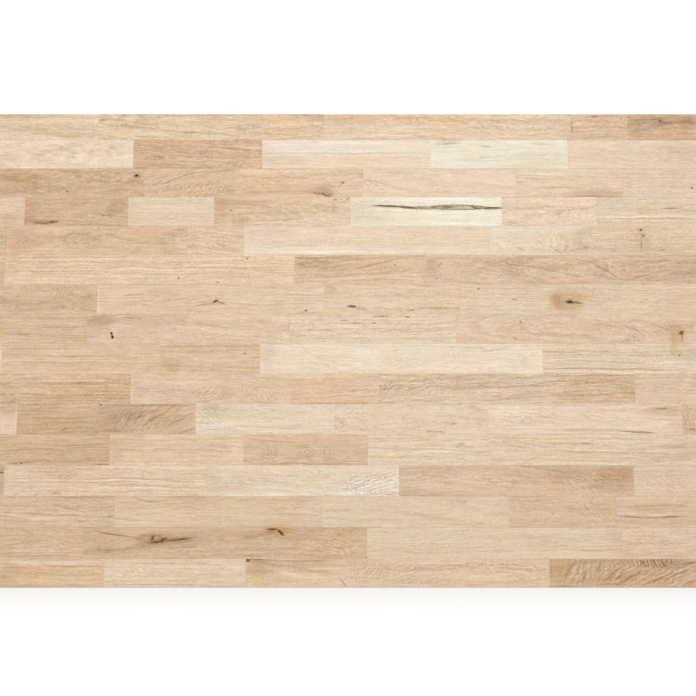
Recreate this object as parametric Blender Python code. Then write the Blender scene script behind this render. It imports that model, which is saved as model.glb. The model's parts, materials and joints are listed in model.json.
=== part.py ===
"""Butcher block countertop: a solid oak panel glued up from short staves.

The staves are full thickness. They are finger jointed end to end into rows that run the length of the
top, and the rows are glued edge to edge. The outer rows were trimmed narrower when the panel was sized.
Each row is one solid here, with the seams between its staves cut into its faces.

Origin: the middle of the underside. +X runs right along the grain, +Y to the back, +Z up.
All lengths are in metres, apart from the cut list.
"""

import bmesh
import bpy
from mathutils import Vector

# The panel.
LENGTH = 1.219
DEPTH = 0.635
THICKNESS = 0.038
ARRIS_RADIUS = 0.0015
ARRIS_SEGMENTS = 3

# The rows. A stave's width is measured from glue line to glue line.
STAVE_WIDTH = 0.0401
BACK_STAVE_WIDTH = 0.0373
GLUE_GAP = 0.0003

# The seams between the staves of one row, as they are cut into its faces.
SEAM_WIDTH = 0.0003
SEAM_DEPTH = 0.0010
SHORTEST_STAVE = 0.060

# The finger joints, which show on the front and back edges of the panel.
FINGER_LENGTH = 0.010
FINGER_PITCH = 0.0038
FINGER_TIP = 0.0006

# How far a cutter reaches past the face that it cuts.
CUTTER_REACH = 0.004

# The finish: bare sanded oak.
OAK_COLOUR = (0.73, 0.555, 0.375, 1.0)
OAK_ROUGHNESS = 0.62

MILLIMETRE = 0.001

# Stave lengths in millimetres, from the left-hand end. The back row comes first.
# The last stave of each row runs out to the right-hand end, so it isn't listed.
CUT_LIST = (
    (269, 308, 337, 77),
    (318, 175, 228, 187),
    (333, 123, 174, 207, 144),
    (174, 139, 116, 184, 204, 128),
    (151, 242, 77, 330, 136),
    (150, 388, 176, 382),
    (275, 303, 180, 337),
    (263, 269, 221, 348),
    (152, 209, 132, 374),
    (323, 211, 117, 336),
    (176, 107, 127, 182, 201, 255),
    (298, 175, 162, 160, 296),
    (162, 265, 249, 305),
    (307, 269, 242, 139),
    (268, 366, 329),
    (296, 182, 390),
)


def clear_scene():
    """Removes whatever the scene holds."""
    for thing in list(bpy.data.objects):
        bpy.data.objects.remove(thing, do_unlink=True)


def oak_material():
    """Bare sanded oak, pale and dull."""
    material = bpy.data.materials.new("oak")
    material.use_nodes = True
    shader = material.node_tree.nodes["Principled BSDF"]
    shader.inputs["Base Color"].default_value = OAK_COLOUR
    shader.inputs["Roughness"].default_value = OAK_ROUGHNESS
    shader.inputs["Metallic"].default_value = 0.0
    material.diffuse_color = OAK_COLOUR
    return material


def glue_lines():
    """The Y of each glue line, from the back face of the panel to its front face, both included."""
    back = DEPTH / 2
    row_count = 1 + max(1, round((DEPTH - BACK_STAVE_WIDTH) / STAVE_WIDTH))
    lines = [back]
    for row in range(row_count - 1):
        lines.append(back - BACK_STAVE_WIDTH - row * STAVE_WIDTH)
    lines.append(-back)
    return lines


def end_joints(row):
    """The X of each end joint of a row, following the cut list as far as the panel reaches."""
    joints = []
    x = -LENGTH / 2
    for length in CUT_LIST[row % len(CUT_LIST)]:
        x += length * MILLIMETRE
        if x > LENGTH / 2 - SHORTEST_STAVE:
            break
        joints.append(x)
    return joints


def eased_blank():
    """The whole panel as one block, with its arrises eased."""
    blank = bmesh.new()
    bmesh.ops.create_cube(blank, size=1.0)
    bmesh.ops.scale(blank, vec=(LENGTH, DEPTH, THICKNESS), verts=blank.verts)
    bmesh.ops.translate(blank, vec=(0, 0, THICKNESS / 2), verts=blank.verts)
    bmesh.ops.bevel(
        blank,
        geom=blank.edges[:],
        offset=ARRIS_RADIUS,
        offset_type="OFFSET",
        segments=ARRIS_SEGMENTS,
        profile=0.5,
        affect="EDGES",
    )
    return blank


def saw_along(block, y, keep_below):
    """Cuts a block along the grain at y, keeps one side of it and closes the cut."""
    normal = (0, 1, 0) if keep_below else (0, -1, 0)
    cut = bmesh.ops.bisect_plane(
        block,
        geom=block.verts[:] + block.edges[:] + block.faces[:],
        plane_co=(0, y, 0),
        plane_no=normal,
        clear_outer=True,
    )
    rim = [item for item in cut["geom_cut"] if isinstance(item, bmesh.types.BMEdge)]
    bmesh.ops.edgeloop_fill(block, edges=rim)


def mesh_object(name, block):
    """Turns a bmesh into a linked object, with its faces pointing out."""
    bmesh.ops.recalc_face_normals(block, faces=block.faces)
    mesh = bpy.data.meshes.new(name)
    block.to_mesh(mesh)
    block.free()
    thing = bpy.data.objects.new(name, mesh)
    bpy.context.scene.collection.objects.link(thing)
    return thing


def add_prism(block, outline, shift):
    """Adds the closed solid that an outline of 3D points sweeps when it moves by shift."""
    start = [block.verts.new(Vector(point)) for point in outline]
    end = [block.verts.new(Vector(point) + shift) for point in outline]
    block.faces.new(start)
    block.faces.new(reversed(end))
    count = len(outline)
    for i in range(count):
        j = (i + 1) % count
        block.faces.new((start[j], start[i], end[i], end[j]))


def add_seam_ring(block, x, low_y, high_y):
    """Adds a cutter for a seam that goes all the way round a row at x."""
    rings = []
    for side in (x - SEAM_WIDTH / 2, x + SEAM_WIDTH / 2):
        for inset in (-CUTTER_REACH, SEAM_DEPTH):
            low, high = low_y + inset, high_y - inset
            bottom, top = inset, THICKNESS - inset
            corners = ((low, bottom), (high, bottom), (high, top), (low, top))
            rings.append([block.verts.new((side, y, z)) for y, z in corners])
    left_outer, left_inner, right_outer, right_inner = rings
    for i in range(4):
        j = (i + 1) % 4
        for first, second in (
            (left_outer, right_outer),
            (right_outer, right_inner),
            (right_inner, left_inner),
            (left_inner, left_outer),
        ):
            block.faces.new((first[i], first[j], second[j], second[i]))


def add_seam_bracket(block, x, glued_y, shown_y):
    """Adds a cutter for a seam on the top, the underside and the glued side of an outer row.

    It ends inside the finger seam, which takes over on the side that shows.
    """
    outward = 1 if shown_y > glued_y else -1
    beyond_glued = glued_y - outward * CUTTER_REACH
    floor_y = glued_y + outward * SEAM_DEPTH
    end_y = shown_y - outward * SEAM_DEPTH / 2
    section = (
        (end_y, THICKNESS + CUTTER_REACH),
        (beyond_glued, THICKNESS + CUTTER_REACH),
        (beyond_glued, -CUTTER_REACH),
        (end_y, -CUTTER_REACH),
        (end_y, SEAM_DEPTH),
        (floor_y, SEAM_DEPTH),
        (floor_y, THICKNESS - SEAM_DEPTH),
        (end_y, THICKNESS - SEAM_DEPTH),
    )
    outline = [(x - SEAM_WIDTH / 2, y, z) for y, z in section]
    add_prism(block, outline, Vector((SEAM_WIDTH, 0, 0)))


def finger_line(x):
    """The line of a finger joint from below the underside to above the top, as X and Z pairs.

    The fingers taper to blunt tips, and each one fills the gap between two of the next stave's.
    """
    finger_count = max(1, round(THICKNESS / FINGER_PITCH))
    pitch = THICKNESS / finger_count
    half_tip = FINGER_TIP / 2
    line = [(x, -CUTTER_REACH)]
    for finger in range(finger_count):
        root_z = finger * pitch
        tip_z = root_z + pitch / 2
        line += [
            (x, root_z + half_tip),
            (x + FINGER_LENGTH, tip_z - half_tip),
            (x + FINGER_LENGTH, tip_z + half_tip),
            (x, root_z + pitch - half_tip),
        ]
    line.append((x, THICKNESS + CUTTER_REACH))
    return line


def band_outline(line, width):
    """The outline of a band of even width along a line of X and Z pairs, with mitred corners."""
    points = [Vector(pair) for pair in line]
    normals = []
    for start, end in zip(points, points[1:]):
        along = (end - start).normalized()
        normals.append(Vector((-along.y, along.x)))
    one_side = []
    other_side = []
    for i, point in enumerate(points):
        before = normals[max(i - 1, 0)]
        after = normals[min(i, len(normals) - 1)]
        mitre = (before + after) / (1 + before.dot(after)) * width / 2
        one_side.append(point + mitre)
        other_side.append(point - mitre)
    return one_side + other_side[::-1]


def add_finger_seam(block, x, shown_y):
    """Adds a cutter for the seam of a finger joint on the side of the panel that shows."""
    outward = 1 if shown_y > 0 else -1
    floor_y = shown_y - outward * SEAM_DEPTH
    outline = [(px, floor_y, pz) for px, pz in band_outline(finger_line(x), SEAM_WIDTH)]
    add_prism(block, outline, Vector((0, outward * (SEAM_DEPTH + CUTTER_REACH), 0)))


def cut_with(row, name, cutter_block):
    """Cuts a row with a cutter, which stays in the scene as a wire guide."""
    cutter = mesh_object(name, cutter_block)
    cutter.display_type = "WIRE"
    cutter.hide_render = True
    cut = row.modifiers.new(name, "BOOLEAN")
    cut.operation = "DIFFERENCE"
    cut.solver = "EXACT"
    cut.object = cutter


def stave_row(row, blank, back_y, front_y, shows_back, shows_front, material):
    """Makes one row of staves between two glue lines, with the seams of its end joints."""
    high_y = back_y if shows_back else back_y - GLUE_GAP / 2
    low_y = front_y if shows_front else front_y + GLUE_GAP / 2
    block = blank.copy()
    if not shows_back:
        saw_along(block, high_y, keep_below=True)
    if not shows_front:
        saw_along(block, low_y, keep_below=False)
    name = f"stave_row_{row + 1:02d}"
    thing = mesh_object(name, block)
    thing.data.materials.append(material)

    joints = end_joints(row)
    if not joints:
        return
    seams = bmesh.new()
    for x in joints:
        if shows_back and not shows_front:
            add_seam_bracket(seams, x, low_y, high_y)
        elif shows_front and not shows_back:
            add_seam_bracket(seams, x, high_y, low_y)
        else:
            add_seam_ring(seams, x, low_y, high_y)
    cut_with(thing, f"{name}_end_seams", seams)
    if shows_back != shows_front:
        fingers = bmesh.new()
        for x in joints:
            add_finger_seam(fingers, x, high_y if shows_back else low_y)
        cut_with(thing, f"{name}_finger_seams", fingers)


def build_countertop():
    """Makes every row of staves, from the back of the countertop to its front."""
    clear_scene()
    material = oak_material()
    blank = eased_blank()
    lines = glue_lines()
    last = len(lines) - 2
    for row in range(last + 1):
        stave_row(
            row,
            blank,
            back_y=lines[row],
            front_y=lines[row + 1],
            shows_back=row == 0,
            shows_front=row == last,
            material=material,
        )
    blank.free()


build_countertop()
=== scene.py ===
# %% [markdown]
# # A butcher block countertop in bare oak
#
# A block top is glued up from short sticks of wood, called staves. They stand on no frame and have no
# skin: what you see on the top face is the side of every stave, sanded flush. So the look of the piece is
# the look of the oak itself. Each stave came from another tree, or from another part of one, and has its
# own colour, its own run of growth rings and its own knots.
#
# This lesson first loads the measured panel, then cuts 85 staves that fit it, then makes one oak that
# knows how wood grows, and lays it through every stave at another place of the log.

# %% Load the measured panel
import json
import math
import random

import bmesh
import bpy
import numpy as np
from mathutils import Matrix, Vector

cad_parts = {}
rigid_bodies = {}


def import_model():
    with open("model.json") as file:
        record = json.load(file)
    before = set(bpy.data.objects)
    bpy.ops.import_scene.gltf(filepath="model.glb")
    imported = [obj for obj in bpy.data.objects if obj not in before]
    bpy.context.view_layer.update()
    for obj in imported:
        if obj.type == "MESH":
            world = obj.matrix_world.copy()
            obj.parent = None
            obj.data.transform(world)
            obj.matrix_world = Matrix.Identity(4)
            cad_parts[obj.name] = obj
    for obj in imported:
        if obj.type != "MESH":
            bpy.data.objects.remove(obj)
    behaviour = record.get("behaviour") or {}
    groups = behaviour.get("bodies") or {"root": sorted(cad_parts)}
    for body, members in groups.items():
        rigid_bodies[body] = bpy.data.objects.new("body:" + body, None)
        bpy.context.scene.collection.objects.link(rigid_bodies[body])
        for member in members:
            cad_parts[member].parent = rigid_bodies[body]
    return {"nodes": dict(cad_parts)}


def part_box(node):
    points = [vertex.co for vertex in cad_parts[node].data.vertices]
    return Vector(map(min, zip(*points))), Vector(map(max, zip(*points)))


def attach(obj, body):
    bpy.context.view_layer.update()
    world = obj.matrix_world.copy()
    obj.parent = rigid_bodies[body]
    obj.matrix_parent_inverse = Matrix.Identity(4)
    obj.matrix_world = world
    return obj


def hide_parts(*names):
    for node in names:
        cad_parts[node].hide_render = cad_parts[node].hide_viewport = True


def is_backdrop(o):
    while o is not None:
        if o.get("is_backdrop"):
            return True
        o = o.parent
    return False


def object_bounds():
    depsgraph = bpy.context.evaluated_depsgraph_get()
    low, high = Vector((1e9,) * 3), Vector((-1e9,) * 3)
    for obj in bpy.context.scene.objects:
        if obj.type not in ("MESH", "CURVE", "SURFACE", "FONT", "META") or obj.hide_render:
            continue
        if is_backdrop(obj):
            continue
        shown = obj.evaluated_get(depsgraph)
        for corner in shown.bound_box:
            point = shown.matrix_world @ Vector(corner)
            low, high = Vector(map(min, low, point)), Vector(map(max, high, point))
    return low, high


for thing in list(bpy.data.objects):
    bpy.data.objects.remove(thing, do_unlink=True)
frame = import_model()
cad_low, cad_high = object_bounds()
MM = 0.001
print("panel, mm:", [round(size / MM, 1) for size in cad_high - cad_low])

# %% [markdown]
# ## Where the rows and the joints are
#
# The measured panel has one node for each row of staves, with a fine groove wherever two staves of the
# row meet. A groove leaves two lines of corners on the top face, one on each of its sides. The middle of
# such a pair is the joint. Reading them from the panel keeps the staves where the panel has them.

# %% Read each row's edges and its joints
TOP = cad_high.z
LEFT = cad_low.x
RIGHT = cad_high.x
WIDEST_GROOVE = 1.0 * MM
NEAR = 0.01 * MM


def row_joints(node):
    """The X of every joint in a row, from the corners that its grooves leave on the top face."""
    corners = [vertex.co for vertex in node.data.vertices if abs(vertex.co.z - TOP) < NEAR]
    places = sorted({round(corner.x, 6) for corner in corners})
    joints = []
    for left, right in zip(places, places[1:]):
        if right - left < WIDEST_GROOVE:
            joints.append((left + right) / 2)
    return joints


row_names = sorted(name for name in frame["nodes"] if name.startswith("stave_row_"))
rows = []
for name in row_names:
    low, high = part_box(name)
    rows.append({"node": name, "front": low.y, "back": high.y, "joints": row_joints(frame["nodes"][name])})

# %% [markdown]
# ## A short way to write node trees
#
# Blender's node trees, for shapes and for finishes alike, are drawn with a mouse. In a script they are
# easier to read as sums. The class Signal wraps one output socket. When two signals are added or
# multiplied, a Math node is made and wired.

# %% Signals
class Signal:
    """One output socket of a node tree. Sums of signals become Math nodes."""

    def __init__(self, tree, socket):
        self.tree = tree
        self.socket = socket

    def math(self, operation, *values):
        """One Math node, with this signal as its first value."""
        sockets = dict(enumerate((self, *values)))
        return self.tree.node("ShaderNodeMath", {"operation": operation}, sockets)

    def __add__(self, other):
        return self.math("ADD", other)

    __radd__ = __add__

    def __sub__(self, other):
        return self.math("SUBTRACT", other)

    def __rsub__(self, other):
        return self.tree.node("ShaderNodeMath", {"operation": "SUBTRACT"}, {0: other, 1: self})

    def __mul__(self, other):
        return self.math("MULTIPLY", other)

    __rmul__ = __mul__

    def __truediv__(self, other):
        return self.math("DIVIDE", other)

    def __rtruediv__(self, other):
        return self.tree.node("ShaderNodeMath", {"operation": "DIVIDE"}, {0: other, 1: self})

    def at_least(self, other):
        """The larger of this signal and another."""
        return self.math("MAXIMUM", other)

    def at_most(self, other):
        """The smaller of this signal and another."""
        return self.math("MINIMUM", other)

    def ramp(self, start, end, low=0.0, high=1.0):
        """Rises smoothly from low to high while this signal goes from start to end."""
        return self.tree.node(
            "ShaderNodeMapRange",
            {"interpolation_type": "SMOOTHSTEP"},
            {"Value": self, "From Min": start, "From Max": end, "To Min": low, "To Max": high},
        )

    def xyz(self):
        """The three numbers of a vector."""
        split = self.tree.node("ShaderNodeSeparateXYZ", sockets={0: self})
        return [Signal(self.tree, output) for output in split.socket.node.outputs]


print("beside sums, a signal knows:", [name for name in vars(Signal) if not name.startswith("_")])

# %% [markdown]
# Every node comes from one method, Tree.node, which first gives the node its settings and then fills or
# links its sockets. The other methods are short names for nodes that are often used.

# %% Trees
class Tree:
    """A node tree to which nodes are added by name."""

    def __init__(self, nodes):
        self.nodes = nodes

    def node(self, kind, settings=None, sockets=None, out=0):
        """Adds a node: first its settings, then its sockets. Returns one of its outputs, if it has any."""
        node = self.nodes.nodes.new(kind)
        for name, value in (settings or {}).items():
            setattr(node, name, value)
        for name, value in (sockets or {}).items():
            if isinstance(value, Signal):
                self.nodes.links.new(value.socket, node.inputs[name])
            else:
                node.inputs[name].default_value = value
        return Signal(self, node.outputs[out]) if node.outputs else None

    def given(self):
        """The named inputs of a group of nodes."""
        entry = self.node("NodeGroupInput").socket.node
        return {socket.name: Signal(self, socket) for socket in entry.outputs}

    def length(self, vector):
        """The length of a vector."""
        return self.node("ShaderNodeVectorMath", {"operation": "LENGTH"}, {0: vector}, "Value")

    def vector(self, x, y, z):
        """Three numbers as one vector."""
        return self.node("ShaderNodeCombineXYZ", sockets={0: x, 1: y, 2: z})

    def mix(self, share, first, second):
        """The first colour, giving way to the second by a share from 0 to 1."""
        settings = {"data_type": "RGBA", "clamp_factor": True}
        return self.node("ShaderNodeMix", settings, {0: share, 6: first, 7: second}, out=2)

    def vectors(self, operation, first, second):
        """One Vector Math node. The second value of SCALE is a number."""
        place = "Scale" if operation == "SCALE" else 1
        return self.node("ShaderNodeVectorMath", {"operation": operation}, {0: first, place: second})


trial = Tree(bpy.data.node_groups.new("trial", "ShaderNodeTree"))
rest = 1 - 2 * trial.node("ShaderNodeValue")
print("1 - 2 * value ends in", rest.socket.node.operation, "and takes", len(trial.nodes.nodes), "nodes")
bpy.data.node_groups.remove(trial.nodes)

# %% [markdown]
# ## The shape of a stave
#
# On the real top the staves of a row are joined end to end with finger joints. The cutter leaves tapered
# fingers, 10 mm long and blunt at the tip, that fill the gaps between the fingers of the next stave. From
# above a finger joint shows as one straight line. On the front edge it shows as a zigzag.
#
# Every stave follows the same rule with other sizes, so Geometry Nodes make it. The side of a stave is an
# outline that goes up one finger line and down the other. The place of each of its points follows from
# the point's number. The outline is filled and pushed through the width of the stave.

# %% Sizes of the joints
FINGER_LENGTH = 10 * MM
FINGER_PITCH = 3.8 * MM
FINGER_TIP = 0.6 * MM
JOINT_GAP = 0.08 * MM
WELD = 0.001 * MM
POINTS_IN_A_FINGER = 4
STAVE_SIZES = (
    "Left Joint", "Right Joint", "Front Face", "Back Face", "Thickness", "Finger Length", "Finger Tip"
)
print("fingers, mm:", round(FINGER_LENGTH / MM, 1), "long, one for each", round(FINGER_PITCH / MM, 1))


# %% A Geometry Nodes tree that makes one stave
def outline_point(tree, given, point_count):
    """The X and Z of each point on the outline of a stave's side, from the number of the point."""
    right_points = given["Right Points"]
    pitch = given["Thickness"] / given["Fingers"]
    number = tree.node("GeometryNodeInputIndex")
    on_right = number.math("LESS_THAN", right_points)
    step = on_right * number + (1 - on_right) * (point_count - 1 - number)
    points_here = on_right * right_points + (1 - on_right) * given["Left Points"]

    along_line = step - 1
    finger = (along_line / POINTS_IN_A_FINGER).math("FLOOR")
    corner = along_line - finger * POINTS_IN_A_FINGER
    # Of a finger's corners 0 to 3, the two in the middle are at its tip.
    at_tip = (corner - 1.5).math("ABSOLUTE").math("LESS_THAN", 1)
    odd = corner.math("MODULO", 2)
    height = finger * pitch + (corner / 2).math("CEIL") * pitch / 2 + (0.5 - odd) * given["Finger Tip"]
    height = height.at_least(0).at_most(given["Thickness"])
    fingered = points_here.math("GREATER_THAN", 2)
    z = fingered * height + (1 - fingered) * step * given["Thickness"]
    end = on_right * given["Right Joint"] + (1 - on_right) * given["Left Joint"]
    return end + fingered * at_tip * given["Finger Length"], z


def stave_tree():
    """Builds the tree, with one named input for each size of a stave."""
    group = bpy.data.node_groups.new("finger jointed stave", "GeometryNodeTree")
    face = group.interface
    face.new_socket("Geometry", in_out="OUTPUT", socket_type="NodeSocketGeometry")
    for name in STAVE_SIZES:
        face.new_socket(name, in_out="INPUT", socket_type="NodeSocketFloat")
    for name in ("Fingers", "Left Points", "Right Points"):
        face.new_socket(name, in_out="INPUT", socket_type="NodeSocketInt")
    face.new_socket("Finish", in_out="INPUT", socket_type="NodeSocketMaterial")

    tree = Tree(group)
    given = tree.given()
    point_count = given["Left Points"] + given["Right Points"]
    x, z = outline_point(tree, given, point_count)
    place = tree.vector(x, z, 0)
    points = tree.node("GeometryNodePoints", sockets={"Count": point_count, "Position": place})
    curve = tree.node("GeometryNodePointsToCurves", sockets={0: points})
    loop = tree.node("GeometryNodeSetSplineCyclic", sockets={"Geometry": curve, "Cyclic": True})
    side = tree.node("GeometryNodeFillCurve", {"mode": "NGONS"}, {"Curve": loop})
    flat = tree.node("GeometryNodeInputPosition").xyz()
    stood = tree.node(
        "GeometryNodeSetPosition",
        sockets={"Geometry": side, "Position": tree.vector(flat[0], given["Back Face"], flat[1])},
    )
    push = tree.vector(0, given["Front Face"] - given["Back Face"], 0)
    body = tree.node(
        "GeometryNodeExtrudeMesh", {"mode": "FACES"}, {"Mesh": stood, "Offset": push, "Individual": False}
    )
    back = tree.node("GeometryNodeFlipFaces", sockets={"Mesh": stood})
    both = tree.node("GeometryNodeJoinGeometry", sockets={0: body})
    tree.nodes.links.new(back.socket, both.socket.node.inputs[0])
    welded = tree.node("GeometryNodeMergeByDistance", sockets={"Geometry": both, "Distance": WELD})
    real = tree.node("GeometryNodeRealizeInstances", sockets={"Geometry": welded})
    finished = tree.node("GeometryNodeSetMaterial", sockets={"Geometry": real, "Material": given["Finish"]})
    tree.node("NodeGroupOutput", sockets={0: finished})
    return group


STAVE_TREE = stave_tree()
STAVE_INPUTS = {
    item.name: item.identifier for item in STAVE_TREE.interface.items_tree if item.in_out == "INPUT"
}
print("inputs of a stave:", sorted(STAVE_INPUTS))

# %% [markdown]
# ## Cutting the staves
#
# Each stave gets an object with the tree on it and its own sizes. The first and the last stave of a row
# are sawn square where the top ends. All the others have fingers at both ends. The glue lines between
# rows are closed to a hair, because the glue itself can't be seen on a well made top.

# %% Cut every stave of every row
FINGER_COUNT = round(cad_high.z / FINGER_PITCH)
FINGERED_POINTS = POINTS_IN_A_FINGER * FINGER_COUNT + 2
SQUARE_POINTS = 2
CLOSED_BY = 0.11 * MM


def blank_stave(name, sizes):
    """An object whose only modifier is the stave tree with these sizes."""
    thing = bpy.data.objects.new(name, bpy.data.meshes.new(name))
    bpy.context.scene.collection.objects.link(thing)
    cut = thing.modifiers.new("stave", "NODES")
    cut.node_group = STAVE_TREE
    for size_name, size in sizes.items():
        cut[STAVE_INPUTS[size_name]] = size
    return thing


def settle(things):
    """Turns the evaluated shape of each object into its plain mesh, and takes its modifiers off."""
    depsgraph = bpy.context.evaluated_depsgraph_get()
    shapes = [bpy.data.meshes.new_from_object(thing.evaluated_get(depsgraph)) for thing in things]
    for thing, shape in zip(things, shapes):
        thing.modifiers.clear()
        shape.name = thing.name
        thing.data = shape


staves = []
for row_number, row in enumerate(rows, start=1):
    ends = [LEFT] + row["joints"] + [RIGHT]
    back = row["back"] if row_number == 1 else row["back"] + CLOSED_BY
    front = row["front"] if row_number == len(rows) else row["front"] - CLOSED_BY
    for place, (left, right) in enumerate(zip(ends, ends[1:]), start=1):
        first, last = place == 1, place == len(ends) - 1
        name = f"stave_{row_number:02d}_{place}"
        sizes = {
            "Left Joint": left if first else left + JOINT_GAP / 2,
            "Right Joint": right if last else right - JOINT_GAP / 2,
            "Front Face": front,
            "Back Face": back,
            "Thickness": TOP,
            "Finger Length": FINGER_LENGTH,
            "Finger Tip": FINGER_TIP,
            "Fingers": FINGER_COUNT,
            "Left Points": SQUARE_POINTS if first else FINGERED_POINTS,
            "Right Points": SQUARE_POINTS if last else FINGERED_POINTS,
        }
        stave = {
            "piece": blank_stave(name, sizes), "node": row["node"], "row": row_number, "place": place,
            "left": left, "right": right, "back": back, "front": front,
            "outer": first or last or row_number in (1, len(rows)),
        }
        staves.append(stave)
settle([stave["piece"] for stave in staves])
faces = [len(stave["piece"].data.polygons) for stave in staves]
print(len(staves), "staves with", min(faces), "to", max(faces), "faces each")

# %% [markdown]
# ## Eased edges
#
# The rim of the top is eased with a round-over of 1.5 mm, so that no edge splinters. Rounding each stave
# by itself would open grooves between them, and the real top was eased after it was glued. So one block of
# the panel's outer size is rounded, and every stave on the rim is cut back to what it shares with it.

# %% Ease the rim of the panel
EASED_RADIUS = 1.5 * MM
EASED_STEPS = 6


def cutter_from(name, block):
    """Turns a bmesh into an object to cut with."""
    mesh = bpy.data.meshes.new(name)
    block.to_mesh(mesh)
    block.free()
    thing = bpy.data.objects.new(name, mesh)
    bpy.context.scene.collection.objects.link(thing)
    return thing


def eased_panel():
    """A block of the panel's size with rounded edges."""
    block = bmesh.new()
    bmesh.ops.create_cube(block, size=1.0)
    bmesh.ops.scale(block, vec=cad_high - cad_low, verts=block.verts)
    bmesh.ops.translate(block, vec=(cad_high + cad_low) / 2, verts=block.verts)
    bmesh.ops.bevel(
        block, geom=block.edges[:], offset=EASED_RADIUS, segments=EASED_STEPS, profile=0.5, affect="EDGES"
    )
    return cutter_from("eased panel", block)


def cut_by(stave, cutter, operation):
    """Adds a Boolean to a stave's piece."""
    cut = stave["piece"].modifiers.new("cut", "BOOLEAN")
    cut.operation = operation
    cut.solver = "EXACT"
    cut.object = cutter


panel_block = eased_panel()
outer_staves = [stave for stave in staves if stave["outer"]]
for stave in outer_staves:
    cut_by(stave, panel_block, "INTERSECT")
settle([stave["piece"] for stave in outer_staves])
bpy.data.objects.remove(panel_block)
print(len(outer_staves), "staves eased at the rim")

# %% [markdown]
# ## Marks in the wood
#
# Rustic oak keeps what finer grades cut away: pin knots, larger knots with a brown halo, dark mineral
# streaks and the odd check. Beside a knot the fibres dive and rise again, which shows as a patch of curved
# lines. A mark is written down by its place on its stave, in millimetres from the stave's left joint and
# from its back glue line, and by its half length and half width.
#
# A mark has up to three parts. Its paints are soft ellipses that tint the wood, whole or as lines. Its flow
# says how far the grain swings round it. And where the wood is open, a hollow is cut for real.

# %% Tints of the marks, as shares of the light that the wood gives back
SOOT = (0.05, 0.02, 0.00)
BLACK = (0.17, 0.085, 0.01)
DARK = (0.36, 0.255, 0.13)
DUSK = (0.34, 0.29, 0.21)
BROWN = (0.66, 0.53, 0.41)
BRONZE = (0.86, 0.76, 0.62)
ORANGE = (0.95, 0.82, 0.63)
HONEY = (0.97, 0.91, 0.79)
LEMON = (1.01, 1.03, 0.84)
PEACH = (1.01, 0.93, 0.83)
ROSE = (1.00, 0.88, 0.83)
PINK = (1.00, 0.97, 0.95)
BEIGE = (0.955, 0.90, 0.83)
OLIVE = (0.58, 0.58, 0.46)
SAGE = (0.96, 0.985, 0.93)
GREY = (0.82, 0.84, 0.86)
ASH = (0.68, 0.66, 0.62)
PALE = (1.03, 1.06, 1.10)
SILVER = (1.04, 1.09, 1.17)
CREAM = (1.13, 1.20, 1.30)
WHITE = (1.10, 1.16, 1.26)
print("tints run from", SOOT, "to", CREAM)


# %% A coat of paint, and a mark
def paint(long, wide, tint, soft=0.5, ragged=0.3, strength=1.0, broken=0.0, bend=0.0, lines=None):
    """An ellipse that tints the wood. Its edge fades over the share soft and wanders by the share ragged.

    Broken says how much of it is eaten away in short dashes along the grain. Bend curves it. Lines makes
    it a set of lines, and names their sizes.
    """
    sizes = {
        "Long": long, "Wide": wide, "Soft": soft, "Ragged": ragged, "Strength": strength,
        "Broken": broken, "Bend": bend,
    }
    sizes.update(lines or {})
    return {"tint": tint, "sizes": sizes}


def mark(x, y, turn, paints, flow=0.0, stretch=2.5, hollow=None):
    """A mark at x, y, turned by so many degrees, with the grain bent round a middle of radius flow."""
    return {
        "x": x, "y": y, "turn": turn, "paints": paints, "flow": flow, "stretch": stretch, "hollow": hollow
    }


print("a mark says:", list(mark(0, 0, 0, ())))


# %% Knots
PIN_HALO = (3.0, 1.3)
PIN_CORE = (1.3, 1.0)
PIN_FLOW = 2.0
HALO_LONG = 1.7
HALO_WIDE = 1.5
HALO_REACH = 1
CORE_LONG = 0.85
CORE_WIDE = 0.8
KNOT_STRETCH = 2.2


def pin(x, y, size=1.0, tint=BLACK):
    """A pin knot, one or two millimetres across, in a brown halo."""
    halo_long, halo_wide = PIN_HALO
    core_long, core_wide = PIN_CORE
    paints = (
        paint(halo_long * size, halo_wide * size, BROWN, soft=0.9, ragged=0.5, strength=0.5),
        paint(core_long * size, core_wide * size, tint, soft=0.5, ragged=0.4, strength=0.9),
    )
    return mark(x, y, 0, paints, flow=PIN_FLOW * size)


def knot(x, y, long, wide, turn=0, halo=BROWN, flow=1.6, core=BLACK):
    """A knot with a ragged dark core and a brown ring that fades into the wood."""
    halo_long, halo_wide = HALO_LONG * long + HALO_REACH, HALO_WIDE * wide + HALO_REACH
    paints = (
        paint(halo_long, halo_wide, halo, soft=0.9, ragged=0.5, strength=0.4),
        paint(long, wide, DARK, soft=0.6, ragged=0.7, strength=0.8),
        paint(CORE_LONG * long, CORE_WIDE * wide, core, soft=0.4, ragged=0.8, strength=0.95),
    )
    return mark(x, y, turn, paints, flow=flow * wide, stretch=KNOT_STRETCH)


def swirl(x, y, radius, stretch=3.0):
    """A place where the grain swings round a knot that lies just under the surface."""
    return mark(x, y, 0, (), flow=radius, stretch=stretch)


print("a pin knot has", len(pin(0, 0)["paints"]), "paints and a knot has", len(knot(0, 0, 3, 2)["paints"]))


# %% Streaks and patches
def dash(x, y, long, wide, tint, strength=0.6, turn=0, broken=0.4, soft=0.7, bend=0.0):
    """A dark dash or streak along the grain."""
    coat = paint(long, wide, tint, soft=soft, ragged=0.5, strength=strength, broken=broken, bend=bend)
    return mark(x, y, turn, (coat,))


def line(x, y, long, wide, strength=0.6, turn=0, broken=0.4, soft=0.7, bend=0.0):
    """A thin brown line along the grain."""
    return dash(x, y, long, wide, BROWN, strength, turn, broken, soft, bend)


def glint(x, y, long, wide, strength=0.5, turn=0, tint=CREAM, bend=0.0):
    """A pale streak, where a band of dense wood catches the light."""
    return dash(x, y, long, wide, tint, strength, turn, broken=0.35, soft=1.0, bend=bend)


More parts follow.
